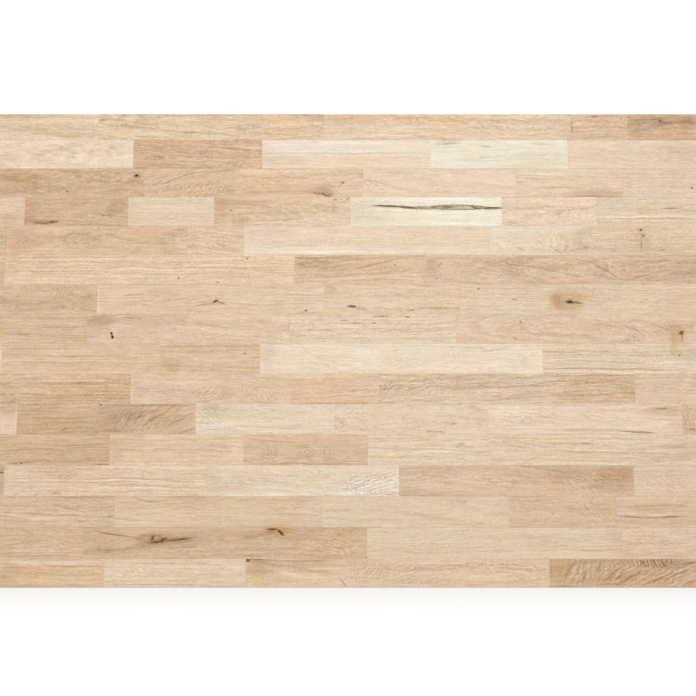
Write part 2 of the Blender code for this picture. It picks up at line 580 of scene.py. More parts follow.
def gleam(x, y, long, wide, strength=0.5, turn=0):
    """A whiter glint."""
    return glint(x, y, long, wide, strength, turn, tint=WHITE)


def stain(x, y, long, wide, tint, strength=0.5, turn=0, soft=1.0, broken=0.0):
    """A wide soft patch of another colour."""
    coat = paint(long, wide, tint, soft=soft, ragged=0.4, strength=strength, broken=broken)
    return mark(x, y, turn, (coat,))


def shade(x, y, long, wide, strength=0.5, turn=0, soft=1.0, broken=0.0):
    """A wide soft patch that is browner."""
    return stain(x, y, long, wide, BROWN, strength, turn, soft, broken)


def lift(x, y, long, wide, strength=0.5, turn=0, soft=1.0, broken=0.0):
    """A wide soft patch that is paler."""
    return stain(x, y, long, wide, CREAM, strength, turn, soft, broken)


print("a shade fades over the share", shade(0, 0, 30, 8)["paints"][0]["sizes"]["Soft"], "of its half size")

# %% Patches of lines
PALE_LINE_SHARE = 0.55
HALF_A_LINE = 0.5
LINES_FADE = 1.2
LINES_BROKEN = 0.6


def lined(x, y, long, wide, strength, tint, lines):
    """A patch of dark lines, with pale lines in the gaps between them."""
    coats = []
    for coat_tint, share, phase in ((tint, 1.0, 0.0), (CREAM, PALE_LINE_SHARE, HALF_A_LINE)):
        coat = paint(
            long, wide, coat_tint, soft=LINES_FADE, strength=share * strength, broken=LINES_BROKEN,
            lines={**lines, "Phase": phase},
        )
        coats.append(coat)
    return mark(x, y, 0, tuple(coats))


def ripples(x, y, long, wide, pitch, lean, strength=0.4, curve=0.0, tint=BROWN):
    """A patch of lines side by side, which lean by so many degrees, as beside a knot."""
    lines = {"Pitch": pitch, "Lean": math.radians(lean), "Curve": curve}
    return lined(x, y, long, wide, strength, tint, lines)


def arcs(x, y, long, wide, pitch, away_x, away_y, stretch, strength=0.4, tint=BROWN):
    """A patch of rings, longer than wide by stretch, round a middle that lies away from the patch."""
    lines = {"Pitch": pitch, "Away X": away_x, "Away Y": away_y, "Stretch": stretch}
    return lined(x, y, long, wide, strength, tint, lines)


print("coats of one patch of ripples:", len(ripples(0, 0, 30, 8, 5, 20)["paints"]))

# %% [markdown]
# ## The look of each stave
#
# Here every stave is marked up, as a maker would chalk a note on each stick: its tone, how it was sawn
# from the log, and what is special about it. Tones have names, and a small step makes one a little paler
# or darker. The way of sawing says where the heart of the tree lies. With the heart to the side the rings
# show as straight lines, and with the heart below they show as long arches.

# %% Tones of bare oak, and ways to saw it
TONES = {
    "milk": (240, 230, 208),
    "cream": (236, 216, 191),
    "blush": (232, 208, 182),
    "ivory": (228, 208, 182),
    "straw": (228, 203, 175),
    "wheat": (225, 199, 169),
    "olive": (222, 199, 170),
    "rose": (221, 193, 164),
    "fawn": (217, 188, 156),
    "tan": (213, 183, 151),
    "caramel": (206, 175, 142),
    "bark": (199, 167, 135),
}
STEP = 0.01
GOLD = (0.0, 0.006, 0.014)

# Each way of sawing: degrees of the heart from straight below, its distance in mm, the ring width in mm
# and how fast the rings rise along the stave.
SAWN = {
    "quarter": (82, 210, 4.0, 0.002),
    "rift": (55, 170, 4.4, 0.004),
    "lined": (68, 150, 5.2, 0.004),
    "slash": (30, 110, 4.2, 0.010),
    "flat": (14, 70, 4.2, 0.020),
    "arched": (3, 42, 4.4, 0.040),
}
LOOKS = {}


def chalk(
    row, place, tone, sawn, step=0, gold=0, to=None, bold=1.0, wave=0.3, fleck=0.0, mottle=0.0, slant=0.0,
    marks=(),
):
    """Writes down what a stave looks like. A tone given as to fades in towards the right-hand end.

    A step makes it one part in a hundred paler, and gold takes some of the blue away.
    """
    LOOKS[row, place] = {
        "tone": tone, "sawn": sawn, "step": step, "gold": gold, "to": to, "bold": bold, "wave": wave,
        "fleck": fleck, "mottle": mottle, "slant": slant, "marks": marks,
    }


def tell(row):
    """Prints how many marks each stave of a row carries."""
    counts = [len(made["marks"]) for (its_row, _), made in LOOKS.items() if its_row == row]
    print("row", row, "- marks on each stave:", counts)


print(len(TONES), "tones and", len(SAWN), "ways to saw")

# %% Row 1, at the back
chalk(1, 1, "wheat", "flat", -4, 1, marks=(
    lift(267, 18.5, 16, 23, 0.28), shade(151, 5, 25, 5.5, 0.26), line(179, 2, 41, 1, broken=0.6),
    glint(189, 11.5, 41, 1.1, 0.4, 1), glint(231, 24.5, 35, 1.1, 0.4, -2),
))
chalk(1, 2, "wheat", "flat", 0, 5, bold=1.2, wave=0.5, marks=(
    shade(154, 10, 30, 7, 0.18), shade(215, 10, 30, 7, 0.2), shade(154, 7.5, 19, 5.5, 0.24),
    line(153, 1.5, 153, 1.2, 0.55), line(99, 23, 84, 1.2, 0.6, -5.6, broken=0.6),
    line(70, 13, 55, 1, 0.45, -4, broken=0.6), line(192, 21, 12, 1.2, 0.6, -14),
    line(232, 27.5, 41, 1.1, 0.4, -6), stain(255, 8, 30, 5.5, HONEY, broken=0.3),
    glint(139, 10, 61, 1.2, 0.45, -4), glint(248, 17.5, 35, 1.4, 0.4, -3),
))
chalk(1, 3, "straw", "slash", 0, 2, bold=0.9, wave=0.7, marks=(
    shade(335, 18.5, 16, 23, 0.2), lift(86, 31.5, 83, 2.7, 0.4, soft=0.7), lift(101, 27.5, 33, 7, 0.36),
    shade(34, 10, 33, 7, 0.22), stain(106, 8, 120, 7, PEACH, 0.9, soft=0.8),
    ripples(101, 7.5, 35, 6, 6.8, -28, 0.35), ripples(158, 10, 46, 8, 7.5, -20, 0.35),
    ripples(229, 16, 41, 12, 6.8, -26), ripples(301, 14.5, 27, 12, 6.3, 12, 0.3),
    glint(106, 19.5, 16, 1.1, 0.8), glint(84, 31, 15, 1.1, 0.8), line(110, 29, 27, 1, 0.6, -1, broken=0.2),
    dash(277, 34.5, 46, 1.1, ORANGE, 0.8, broken=0.3), glint(263, 6.5, 16, 1.1, 0.7, -14),
    glint(287, 26, 25, 1.1, 0.5, 6),
))
chalk(1, 4, "fawn", "rift", 1, marks=(
    lift(12, 18.5, 12, 12, 0.15), line(0.7, 18, 7.6, 0.7, 0.85, 90, broken=0),
    glint(9, 13, 6.8, 1.1, 0.7, -62), glint(22.5, 23, 11, 1.1, 0.6, 14), stain(32.5, 4, 4.4, 1.8, DARK),
    pin(68, 7.3, 0.5), stain(49, 10, 19, 7, PINK, 0.8), line(39, 33.5, 35, 1.2, 0.45),
))
chalk(1, 5, "bark", "slash", 9, -2, bold=1.2, wave=0.6, mottle=0.8, marks=(
    shade(82, 11.5, 14, 11, 0.14), shade(37, 9, 41, 9, 0.55, broken=0.3), stain(18, 24.5, 16, 6, GREY, 0.8),
    stain(73, 27.5, 27, 8, ORANGE, 0.35), dash(54, 11.5, 14, 1.8, DARK, 0.55, -4, broken=0.5, soft=0.9),
    dash(82.5, 11, 8, 1.8, OLIVE, 0.8), shade(82, 11, 14, 5.5, 0.35),
    knot(44.2, 9.3, 1.5, 1, -10, flow=1, core=DARK), glint(25, 14, 8, 1.2, 0.7, 20),
    glint(37, 22.5, 12, 1.1, 0.6, -8), glint(17, 5, 11, 1.1), line(30, 33, 27, 1.1, 0.5),
))
tell(1)

# %% Row 2
chalk(2, 1, "cream", "arched", -5, 4, bold=0.85, marks=(
    lift(316, 19.5, 16, 23, 0.28), shade(141, 26.5, 22, 8, 0.34), stain(153, 19.5, 30, 22, PINK, 0.9),
    arcs(221, 21, 54, 14, 6.2, -61.1, 0, 4, 0.3), arcs(289, 17, 27, 12, 5.7, -40.8, -4.1, 3.2, 0.25),
))
chalk(2, 2, "tan", "rift", -4, 6, bold=1.4, wave=0.4, slant=-0.05, marks=(
    lift(174, 19.5, 16, 23, 0.46), lift(146, 11, 27, 7, 0.34), shade(30, 29.5, 27, 8, 0.2),
    lift(153, 5.5, 16, 5.4, 0.36), dash(34, 22.5, 10, 1, DARK, 0.6, -6), glint(22, 10, 24, 1.1, 0.5, -4),
    glint(124, 14, 41, 1.2, 0.5, -5), glint(110, 26.5, 46, 1.2, 0.5, -4), line(152, 24.5, 22, 1.2, 0.6, -6),
    line(145, 12.5, 27, 1.1, 0.5, -7),
))
chalk(2, 3, "cream", "quarter", 0, -2, bold=0.6, wave=0.2, marks=(
    shade(3, 19.5, 16, 23, 0.13), shade(30, 29.5, 30, 8, 0.26), stain(112, 10, 125, 10, PALE, 1, soft=0.4),
    stain(149, 31, 95, 9, PINK, 1, soft=0.5), gleam(122, 3.5, 52, 1.6, 0.9), gleam(24, 6.5, 20, 1.1, 0.6),
    dash(85, 14, 38, 1.2, GREY), dash(97, 19, 98, 1.1, ASH, 0.5, soft=0.9), glint(51, 22, 41, 1, 0.4),
    dash(187, 25.5, 30, 0.8, ASH, 0.35, -3),
))
chalk(2, 4, "milk", "slash", -5, 1, bold=0.6, marks=(
    stain(81, 19.5, 79, 18, PINK, 0.8), stain(23, 3.5, 18, 3, ASH, soft=0.9),
    dash(27, 5.5, 14, 1, ASH, 0.8, -2), dash(76, 9, 8, 1.1, ASH, 0.9), dash(151, 5.6, 14, 1, GREY, 0.9),
    dash(68, 29, 23, 1.1, GREY, 1, 3, broken=0.2), stain(149, 26.5, 46, 12, BEIGE, 0.6, 8, soft=1.1),
    stain(171, 31, 16, 7, PEACH, 0.7), stain(24, 28, 30, 9, PALE, 0.8), glint(175, 29.5, 5.4, 0.9, 0.6, 30),
    glint(160, 25.5, 6.8, 1, 0.5, -25), gleam(122, 14, 27, 1, 0.4, 4),
))
chalk(2, 5, "straw", "arched", 3, -3, to="wheat", bold=0.7, marks=(
    lift(12, 19.5, 14, 14, 0.2), shade(146, 11, 27, 8, 0.2), shade(158, 21, 24, 14, 0.13),
    arcs(73, 31, 18, 9, 4.9, 0, 0, 2.6, 0.25), arcs(118, 21, 30, 14, 5.4, -21.7, -2.7, 2.6, 0.2),
    glint(55, 8.5, 11, 1, 0.5, -20),
))
tell(2)

# %% Row 3
chalk(3, 1, "caramel", "arched", 0, 2, wave=0.6, fleck=0.5, mottle=0.9, marks=(
    shade(171, 12, 30, 8, 0.2), shade(146, 6.5, 19, 11, 0.24), arcs(276, 12.5, 37, 12, 4.5, 0, 0, 3.2, 0.5),
    swirl(276.5, 13.5, 6.8, 4), stain(167, 17.5, 22, 8, ORANGE),
    knot(323.3, 10.8, 2.6, 1.9, 10, flow=2, core=SOOT), glint(316.5, 10, 4.3, 1.2, 0.8, 25),
    pin(230.5, 31.4, 0.9), ripples(206, 10.5, 27, 11, 5.4, 24), ripples(180, 29, 30, 8, 5.4, -18, 0.35),
    line(299, 31.5, 22, 1.2, 0.6, 6), glint(220, 20.5, 19, 1.2, 0.6, 8), glint(264, 31.5, 16, 1.1, 0.6, -6),
))
chalk(3, 2, "fawn", "slash", -3, 2, wave=0.5, mottle=0.7, slant=0.13, marks=(
    line(47, 14, 27, 1.1, 0.6, 19, broken=0.2), line(95, 4, 30, 1.1, 0.5, 6, broken=0.2),
    ripples(81, 29.5, 41, 10, 5.9, 52, 0.5, curve=0.006), ripples(22, 24.5, 22, 12, 5.4, 30, 0.35),
    glint(63, 10.5, 24, 1.1, 0.6, 17),
))
chalk(3, 3, "rose", "flat", 1, 5, bold=0.9, wave=0.6, marks=(
    shade(86, 35, 84, 2.7, 0.23, soft=0.7), lift(86, 7.5, 84, 5.4, 0.38, soft=0.7),
    shade(86, 29, 30, 8, 0.24), shade(118, 33.5, 19, 5.4, 0.28),
    stain(124, 28, 12, 7, OLIVE, 0.55, broken=0.5), dash(120, 35.5, 14, 1.9, DARK, 0.75, -4, broken=0.8),
    dash(125, 37.5, 8, 0.9, DARK, 0.8, -6, broken=0.7), pin(114.3, 34.3, 0.3), pin(122.4, 36, 0.4),
    pin(131.2, 34.6, 0.3), knot(146.7, 19.8, 1.5, 1.1, 30, core=DARK),
    dash(143, 24, 3.9, 0.8, DARK, 0.6, 52), ripples(68, 9, 24, 8, 5.7, 22),
    ripples(37, 24.5, 30, 11, 5.4, -14, 0.35), glint(89, 17.5, 30, 1.1, 0.5, -6),
    stain(37, 30, 30, 8, ORANGE, 0.3),
))
chalk(3, 4, "blush", "flat", 0, 3, bold=0.7, wave=0.5, marks=(
    ripples(15, 22, 16, 8, 4.6, -28, 0.6), arcs(104, 24.5, 22, 9, 4.1, 8, -8.1, 1.6, 0.3),
    glint(145, 13.5, 22, 0.9, 0.4, -8), stain(77, 35.5, 46, 3.5, PEACH, 0.6),
))
chalk(3, 5, "straw", "lined", -1, 3, bold=0.9, marks=(
    shade(106, 29, 32, 7, 0.16), lift(35, 11.5, 35, 7, 0.34), shade(109, 34.5, 38, 4.9, 0.38, soft=0.9),
    line(102, 38, 41, 1.2), glint(43, 8.5, 35, 1.1, 0.6), glint(39, 21, 32, 1.1, 0.5, -1),
    line(59, 26, 32, 1.1, 0.5), line(49, 15, 38, 0.9, 0.4),
))
chalk(3, 6, "wheat", "quarter", -3, -3, bold=0.8, marks=(
    pin(93.5, 27.4, 0.9), glint(37, 10.5, 27, 0.9, 0.5, 3), ripples(67, 16, 27, 11, 5.4, -12, 0.3),
))
tell(3)

# %% Row 4
chalk(4, 1, "rose", "rift", -3, bold=0.9, marks=(
    shade(157, 30.5, 16, 8, 0.18, soft=0.7), lift(156, 5.5, 16, 7, 0.38, soft=0.7),
))
chalk(4, 2, "caramel", "slash", 1, 4, bold=1.1, wave=0.6, marks=(
    shade(2, 19.5, 16, 23, 0.28), shade(5, 33, 16, 5.4, 0.38), shade(29, 34, 17, 3.5, 0.6, 3, broken=0.3),
    dash(26, 34.5, 12, 1.6, DARK, 0.5, 4, soft=1), dash(40, 33.5, 6.7, 1.6, DARK, 0.8, 2, broken=0.3),
    dash(33, 35.5, 12, 1.1, DARK, 0.5, 5, soft=0.9), line(21, 37, 11, 1.1, 0.7, 7),
    line(95, 38, 46, 1.1, broken=0.5), stain(124, 14, 13, 9, ASH, 0.55, 24, soft=0.7, broken=0.4),
    line(111, 24.5, 12, 1.9, 0.8, broken=1), stain(10.5, 11, 6.7, 1.9, ROSE, 0.8),
    glint(68, 19.5, 32, 1.2, 0.5, 4), ripples(74, 9.5, 30, 8, 5.4, 16, 0.35),
))
chalk(4, 3, "blush", "quarter", -6, 4, bold=0.7, fleck=0.6, marks=(
    shade(1, 19.5, 16, 23, 0.15), glint(50, 14, 30, 0.9, 0.4), ripples(70, 26.5, 32, 9, 5.4, 14, 0.25),
))
chalk(4, 4, "olive", "flat", -2, 6, wave=0.7, marks=(
    shade(11, 19.5, 12, 13, 0.12), lift(181, 19.5, 16, 23, 0.31), shade(1, 19.5, 16, 23, 0.28),
    lift(92, 36, 89, 2.7, 0.4, soft=0.7), lift(152, 29, 30, 7, 0.34), shade(91, 11, 32, 8, 0.22),
    shade(29, 11, 32, 8, 0.3), lift(135, 25.5, 30, 11, 0.4), shade(39, 7, 40, 5.4, 0.34),
    pin(22.7, 18.6, 0.7), pin(164.2, 3.7, 0.9), pin(170.4, 3.2, 0.4), pin(178.9, 3.2, 0.6, tint=DARK),
    shade(35, 32, 13, 7, broken=0.5), arcs(92, 20.5, 54, 13, 5.7, -29.6, -8.1, 3.2, 0.3),
    ripples(151, 19.5, 27, 12, 5.4, -18, 0.2), glint(65, 9.5, 32, 1.1, 0.6, -5),
    glint(116, 33, 40, 1.1, 0.5, 4),
))
chalk(4, 5, "milk", "quarter", -3, 2, bold=0.6, marks=(
    shade(1, 19.5, 16, 23, 0.13), stain(29, 19.5, 32, 15, ASH, 0.32, broken=0.3),
    ripples(18, 11, 16, 9, 4.6, 24, tint=ASH), stain(107, 2.5, 86, 3.2, WHITE, 0.7),
    stain(67, 11, 67, 8, PINK), gleam(134, 21.5, 59, 1.3, 0.9), gleam(53, 17, 22, 1.1, 0.9, -3),
    dash(149.9, 32.5, 19, 0.9, GREY, 0.9), gleam(134, 37.5, 62, 1.2, 0.6), lift(153, 5.5, 51, 5.4, 0.25),
    lift(150, 33, 51, 7, 0.42), stain(83, 23.5, 19, 5.4, BEIGE),
    mark(47.7, 12.2, -2, (
        paint(17.5, 1.48, DUSK, soft=0.5, ragged=0.5, strength=0.95),
    ), hollow=(13.5, 1.01, 1.5)),
    dash(77, 13.5, 12, 1.5, DUSK, 0.95, -3, broken=0.2),
    stain(99, 14, 18, 3.2, ASH, 1, soft=0.5, broken=0.1), dash(89, 13.5, 11, 2, DUSK, 0.75, -3, broken=0.3),
    dash(104.5, 15, 11, 2, DUSK, 0.6, -3, broken=0.5), dash(69, 12.5, 15, 1.5, DUSK, 0.95, -3, broken=0.2),
    stain(121, 14, 13, 3.2, OLIVE, 1, soft=0.5), shade(132.5, 14, 8, 3, 0.7, soft=0.8),
    stain(156, 14, 24, 3.1, ASH, 0.9, soft=0.4),
    dash(150.2, 10.8, 32, 0.9, DUSK, 0.85, -0.5, broken=0.1, soft=0.5, bend=-0.0012),
    dash(147.5, 17, 32, 0.9, DUSK, 0.9, 0.5, broken=0.1, soft=0.5, bend=0.0012),
    dash(167, 14, 6.7, 1.2, DUSK, 0.8, -24, broken=0.1), stain(177, 14, 12, 2.8, OLIVE, 1, soft=0.5),
    mark(192, 14.5, 0, (
        paint(13.5, 1.95, DUSK, soft=0.5, ragged=0.4, strength=0.95),
    ), hollow=(10.8, 0.81, 1.4)),
    mark(136.7, 14, 0, (), hollow=(36.4, 1.82, 1.5)),
))
chalk(4, 6, "blush", "flat", 0, 1, bold=0.9, wave=0.6, marks=(
    ripples(38, 25, 30, 11, 5.4, -14, 0.3), glint(78, 9.5, 32, 1.1, 0.5, 2),
    arcs(105, 23.5, 19, 11, 4.8, -24.2, 0, 2.4, 0.25),
))
chalk(4, 7, "olive", "quarter", 1, -2, marks=(
    dash(98.5, 16.5, 10, 1.1, DARK, 0.7), glint(74, 27.5, 57, 1.2, 0.8), glint(52, 32.5, 48, 1.1, 0.7),
    line(71, 30, 54, 0.9, 0.5, broken=0.3), glint(59, 5.5, 40, 1.1, 0.6), line(85, 22, 38, 0.9, 0.4),
))
tell(4)

# %% Row 5
chalk(5, 1, "caramel", "rift")
chalk(5, 2, "fawn", "arched", -3, 5, wave=0.7, marks=(
    lift(240, 19.5, 16, 23, 0.27), shade(23, 8.5, 16, 5.4, 0.24), shade(21, 29.5, 17, 7, 0.28),
    stain(18, 20.5, 27, 15, ROSE, 0.4), ripples(21, 19.5, 23, 12, 5.4, 38, 0.3),
    line(148, 15, 24, 1.2, 0.4, -13, bend=0.003), glint(137, 11.5, 12, 1.2, 0.7, -24),
    glint(158, 18.5, 12, 1.1, 0.5, -6), line(206, 22.5, 35, 1.1, 0.4), lift(234.5, 20.5, 11, 16, 0.24),
    ripples(246, 11, 24, 9, 5.4, -26), arcs(99, 20.5, 30, 12, 5.1, 19, 0, 2.6, 0.35),
    glint(71, 5.5, 32, 1.1, 0.6, 3), glint(193, 32, 40, 1.1, 0.5, -2),
))
chalk(5, 3, "wheat", "slash", -4, 6, fleck=0.6, slant=-0.09, marks=(
    shade(7, 20.5, 11, 16, 0.16), ripples(38, 20.5, 32, 15, 5.4, -10), glint(47, 8.5, 21, 1.1, 0.6, -8),
))
chalk(5, 4, "cream", "quarter", -5, 3, bold=0.6, marks=(
    lift(164, 33, 164, 4.6, 0.42, soft=0.7), shade(32, 9.5, 32, 8, 0.2), gleam(164, 36, 166, 1.3, 0.75),
    gleam(102, 35.5, 16, 1.9, 0.9), stain(279, 19.5, 54, 19, PINK, 0.8), gleam(75, 7, 40, 0.9, 0.4),
    ripples(129, 20.5, 35, 11, 5.4, 10, 0.2), dash(62, 27.5, 35, 0.9, ASH, 0.3),
    ripples(223, 16.5, 32, 11, 4.8, -14, 0.2),
))
chalk(5, 5, "ivory", "arched", 2, -3, bold=0.7, wave=0.5, marks=(
    lift(11, 19.5, 12, 13, 0.2), shade(133, 19.5, 16, 23, 0.32), shade(113, 29.5, 20, 7, 0.3),
    arcs(89, 23.5, 32, 12, 4.8, -34.9, 0, 2, 0.34), arcs(19, 20.5, 17, 12, 4.6, -4, -2.7, 1.3, 0.2),
    stain(102, 20.5, 35, 16, PEACH), line(88.5, 32, 9, 1.2, 0.6, -30), line(102, 29, 6.7, 1.2, 0.5, 50),
    line(128.5, 29, 4, 1.3, 0.7), line(40, 32, 6.7, 1.2, 0.6, -18), line(68.5, 23.5, 4, 1.2, 0.5, -40),
    dash(10.5, 27.5, 8, 1.2, ASH, 0.6, -36), glint(9.5, 19.5, 6.7, 1.2, 0.6, 30),
    glint(23, 14, 8, 1.2, 0.6, -20), glint(54, 7, 27, 1.1, 0.5, -4), line(114, 32, 13, 0.9, 0.5, 12),
))
chalk(5, 6, "olive", "rift", -2, 3, marks=(
    shade(69, 32, 68, 5.4, 0.17, soft=0.7), shade(68, 16.5, 11, 15, 0.32),
    knot(67.3, 5.4, 1.3, 1.1, 30, flow=1.8, core=DARK), knot(70.1, 12.6, 1.2, 1.2, 70, flow=1.8, core=DARK),
    line(67, 24, 9, 0.9, 0.8, 87, broken=0.2), ripples(49, 16.5, 13, 12, 4, 52, 0.35),
    ripples(92, 16.5, 16, 12, 4.3, -40, 0.3), glint(25, 11, 19, 1.1, 0.5, 5),
    glint(119, 27.5, 19, 1.1, 0.5, -4),
))
tell(5)

# %% Row 6
chalk(6, 1, "tan", "rift", marks=(
    shade(147.5, 28.5, 5.3, 9, 0.3),
))
chalk(6, 2, "wheat", "quarter", -1, 6, bold=1.15, marks=(
    lift(386, 20.5, 16, 23, 0.36), lift(289, 2.5, 96, 2.7, soft=0.7), shade(7, 13.5, 16, 12, 0.16),
    pin(233, 31.5, 0.9), pin(286, 36.8, 0.9), pin(324.7, 4.8, 0.7), line(87, 3, 80, 0.9, broken=0.7),
    line(275, 2.5, 80, 0.9, 0.5, broken=0.7), glint(194, 6, 120, 1.1, 0.55),
    line(154, 10, 120, 0.9, broken=0.7), glint(74, 13, 67, 1.1, 0.6), glint(302, 13.5, 62, 1.1, 0.6),
    line(302, 18, 80, 0.9, 0.55, broken=0.7), line(75, 21.5, 67, 1.1, 0.55, broken=0.7),
    glint(181, 19, 80, 0.9), glint(142, 29.5, 80, 1.1, 0.4, 1), line(235, 26, 67, 0.8, 0.4, broken=0.8),
))
chalk(6, 3, "fawn", "lined", 1, 1, bold=1.2, slant=0.03, marks=(
    shade(11, 20, 13, 9, 0.16), lift(146, 30, 27, 7, 0.4), shade(88, 17, 86, 5.3, 0.18, soft=0.7),
    shade(54, 18.5, 24, 6, 0.28), shade(19, 9, 19, 7, 0.35, broken=0.3),
    ripples(31, 9.5, 32, 9, 5.4, 10, 0.5), line(114, 11, 37, 1.1, 0.8, 14, broken=0.2),
    line(41, 4, 51, 1.2), stain(67, 9.5, 54, 5.4, ORANGE, 0.4), pin(134.4, 13.2, 0.8, tint=DARK),
    glint(74, 20.5, 53, 1.2, 0.6, 6), glint(61, 31.5, 53, 1.2, 0.6, 2),
    line(88, 26.5, 59, 1.1, 0.6, 3, broken=0.3), line(128, 34, 40, 1.1, 0.5),
))
chalk(6, 4, "tan", "arched", 5, -5, to="caramel", wave=0.6, marks=(
    lift(90, 33, 29, 5.3, 0.3), shade(270, 27.5, 88, 5.3, 0.14, soft=0.7),
    shade(91, 3.5, 88, 2.7, 0.21, soft=0.7), lift(90, 30, 19, 5.3, 0.36), shade(168, 19, 16, 7, 0.25),
    shade(353, 16.5, 21, 12, 0.22), lift(73, 17, 19, 8, 0.45), shade(8, 15, 12, 11, 0.4),
    pin(14.3, 31.5, 0.8), dash(19, 13.5, 4.7, 0.9, DARK, 0.7, 58), ripples(107, 15, 45, 15, 5.9, -14),
    stain(192, 37, 21, 4, ROSE), line(126, 13.5, 23, 1.3, 0.6, -8), line(160, 18.5, 19, 1.2, 0.55, -14),
    line(213, 8, 17, 1.1, 0.5, -12), line(235, 17.5, 11, 1.2, 0.7, -24),
    line(248.5, 24.5, 9, 1.2, 0.7, -38), line(286, 27.5, 12, 1.2, 0.7, 12),
    glint(179, 26, 21, 1.2, 0.5, -10), glint(216, 29.5, 20, 1.2, 0.6, 9),
    glint(241, 9.5, 16, 1.1, 0.5, -18), arcs(238, 17.5, 24, 15, 5.3, -32.1, 0, 2.2, 0.35),
    ripples(302, 17.5, 37, 15, 5.9, 10), glint(179, 9.5, 27, 1.2, 0.6, -8),
))
chalk(6, 5, "wheat", "rift")
tell(6)

# %% Row 7
chalk(7, 1, "tan", "flat", -5, 1, bold=0.9, wave=0.5, mottle=0.9, marks=(
    shade(211, 35.5, 61, 2.7, 0.2, soft=0.7), stain(216, 24, 45, 11, HONEY),
    ripples(224, 11, 13, 7, 4.3, 42, 0.6), glint(199.5, 21, 12, 1.5, 0.7),
    ripples(250, 32, 21, 7, 4.5, -16, 0.45), ripples(173, 32, 21, 7, 4.5, 8, 0.35),
    line(267, 36, 16, 1.2, 0.6, -10),
))
chalk(7, 2, "wheat", "quarter", -4, 5, bold=0.9, marks=(
    lift(301, 20, 16, 23, 0.35), lift(225, 20, 75, 5.3, 0.3, soft=0.7), shade(89, 10.5, 19, 7, 0.22),
    glint(2, 20, 19, 0.9, 0.7, 90), knot(157.7, 23.9, 4, 1.6, 24, flow=1.8, core=DARK),
    pin(157.5, 23.9, 0.5), dash(143, 27.5, 12, 0.9, DARK, 0.55, 6, broken=0.3),
    dash(166, 26.5, 5.6, 0.9, DARK, 0.7, -14, broken=0.2), pin(278.8, 35.6),
    line(49.5, 14.5, 12, 1.2, 0.7, 4, broken=0.2), line(102, 20.5, 19, 0.9, 0.6, 8),
    glint(277, 11.5, 27, 1.1, 0.7), glint(279, 16, 24, 1.1, 0.6, 1), line(281, 13.5, 24, 0.8, 0.5),
    glint(58, 20, 40, 1.1, 0.5, 4), glint(204, 24, 40, 1.1, 0.4, -3), line(279, 38.5, 24, 0.8, 0.5),
))
chalk(7, 3, "wheat", "rift", -1, 2, wave=0.5, marks=(
    dash(36.5, 30.5, 5.9, 1.5, BLACK, 0.8, -6, broken=0), line(45, 32, 11, 1.6, 0.6, -8),
    pin(117.4, 34.6, 0.8, tint=DARK), line(107.5, 35.5, 11, 0.9), line(143, 33.5, 24, 2.1, 0.5, broken=0.6),
    ripples(32, 10.5, 16, 8, 4, 48, 0.35), ripples(65, 10.5, 9, 8, 3.7, 80, 0.35),
    ripples(154, 17, 21, 11, 4.5, -36, 0.35), shade(7.5, 7.5, 9, 8, 0.3), glint(94, 22.5, 21, 1.1, 0.6),
))
chalk(7, 4, "olive", "quarter", -1, 2, bold=0.85, wave=0.5, marks=(
    shade(301, 21, 21, 12, 0.14), lift(46, 32, 21, 7, 0.36), shade(146, 28, 16, 8, 0.28),
    pin(25.5, 6.3, 0.9, tint=DARK), line(73.5, 21, 3.2, 1.6, 0.8, broken=0),
    stain(142, 21, 24, 15, BRONZE, 0.75, soft=0.9), stain(132.5, 24, 11, 11, BRONZE, 0.7, broken=0.3),
    shade(128.5, 21, 6.7, 9, 0.3), stain(155, 17, 15, 5.3, ROSE, 0.4), stain(166, 25.5, 20, 13, SAGE, 0.7),
    mark(146.7, 24.3, -3, (
        paint(6.1, 3.19, OLIVE, soft=0.7, ragged=0.6, strength=0.9),
        paint(4.4, 1.86, DARK, soft=0.6, ragged=0.7, strength=0.8),
        paint(2.4, 1.06, BLACK, soft=0.6, ragged=0.6, strength=0.75),
    ), flow=6, hollow=(3.7, 1.33, 1.8)),
    dash(156.5, 25, 6.9, 1.5, OLIVE, 1, -3, broken=0.1, soft=0.6),
    dash(155.5, 26, 6.1, 0.7, DARK, 0.6, -2, broken=0.2), glint(142, 27.5, 4.8, 0.8, 0.9, -34),
    glint(138, 16, 6.7, 0.9, 0.5, 64), ripples(182, 9, 16, 8, 4, 76, 0.22),
    ripples(195, 17, 13, 8, 4.5, 50, 0.25), glint(174, 7.5, 4, 1.1, 0.4, 80),
    glint(183.5, 9, 5.3, 1.1, 0.5, 70), glint(192.5, 11.5, 5.3, 1.1, 0.4, 52),
    line(40, 29.5, 27, 1.1, 0.45), glint(54, 11.5, 35, 0.9, 0.4), glint(240, 16, 32, 1.1, 0.4, 2),
    ripples(260, 24, 32, 11, 5.3, 10, 0.25),
))
chalk(7, 5, "rose", "rift")
tell(7)

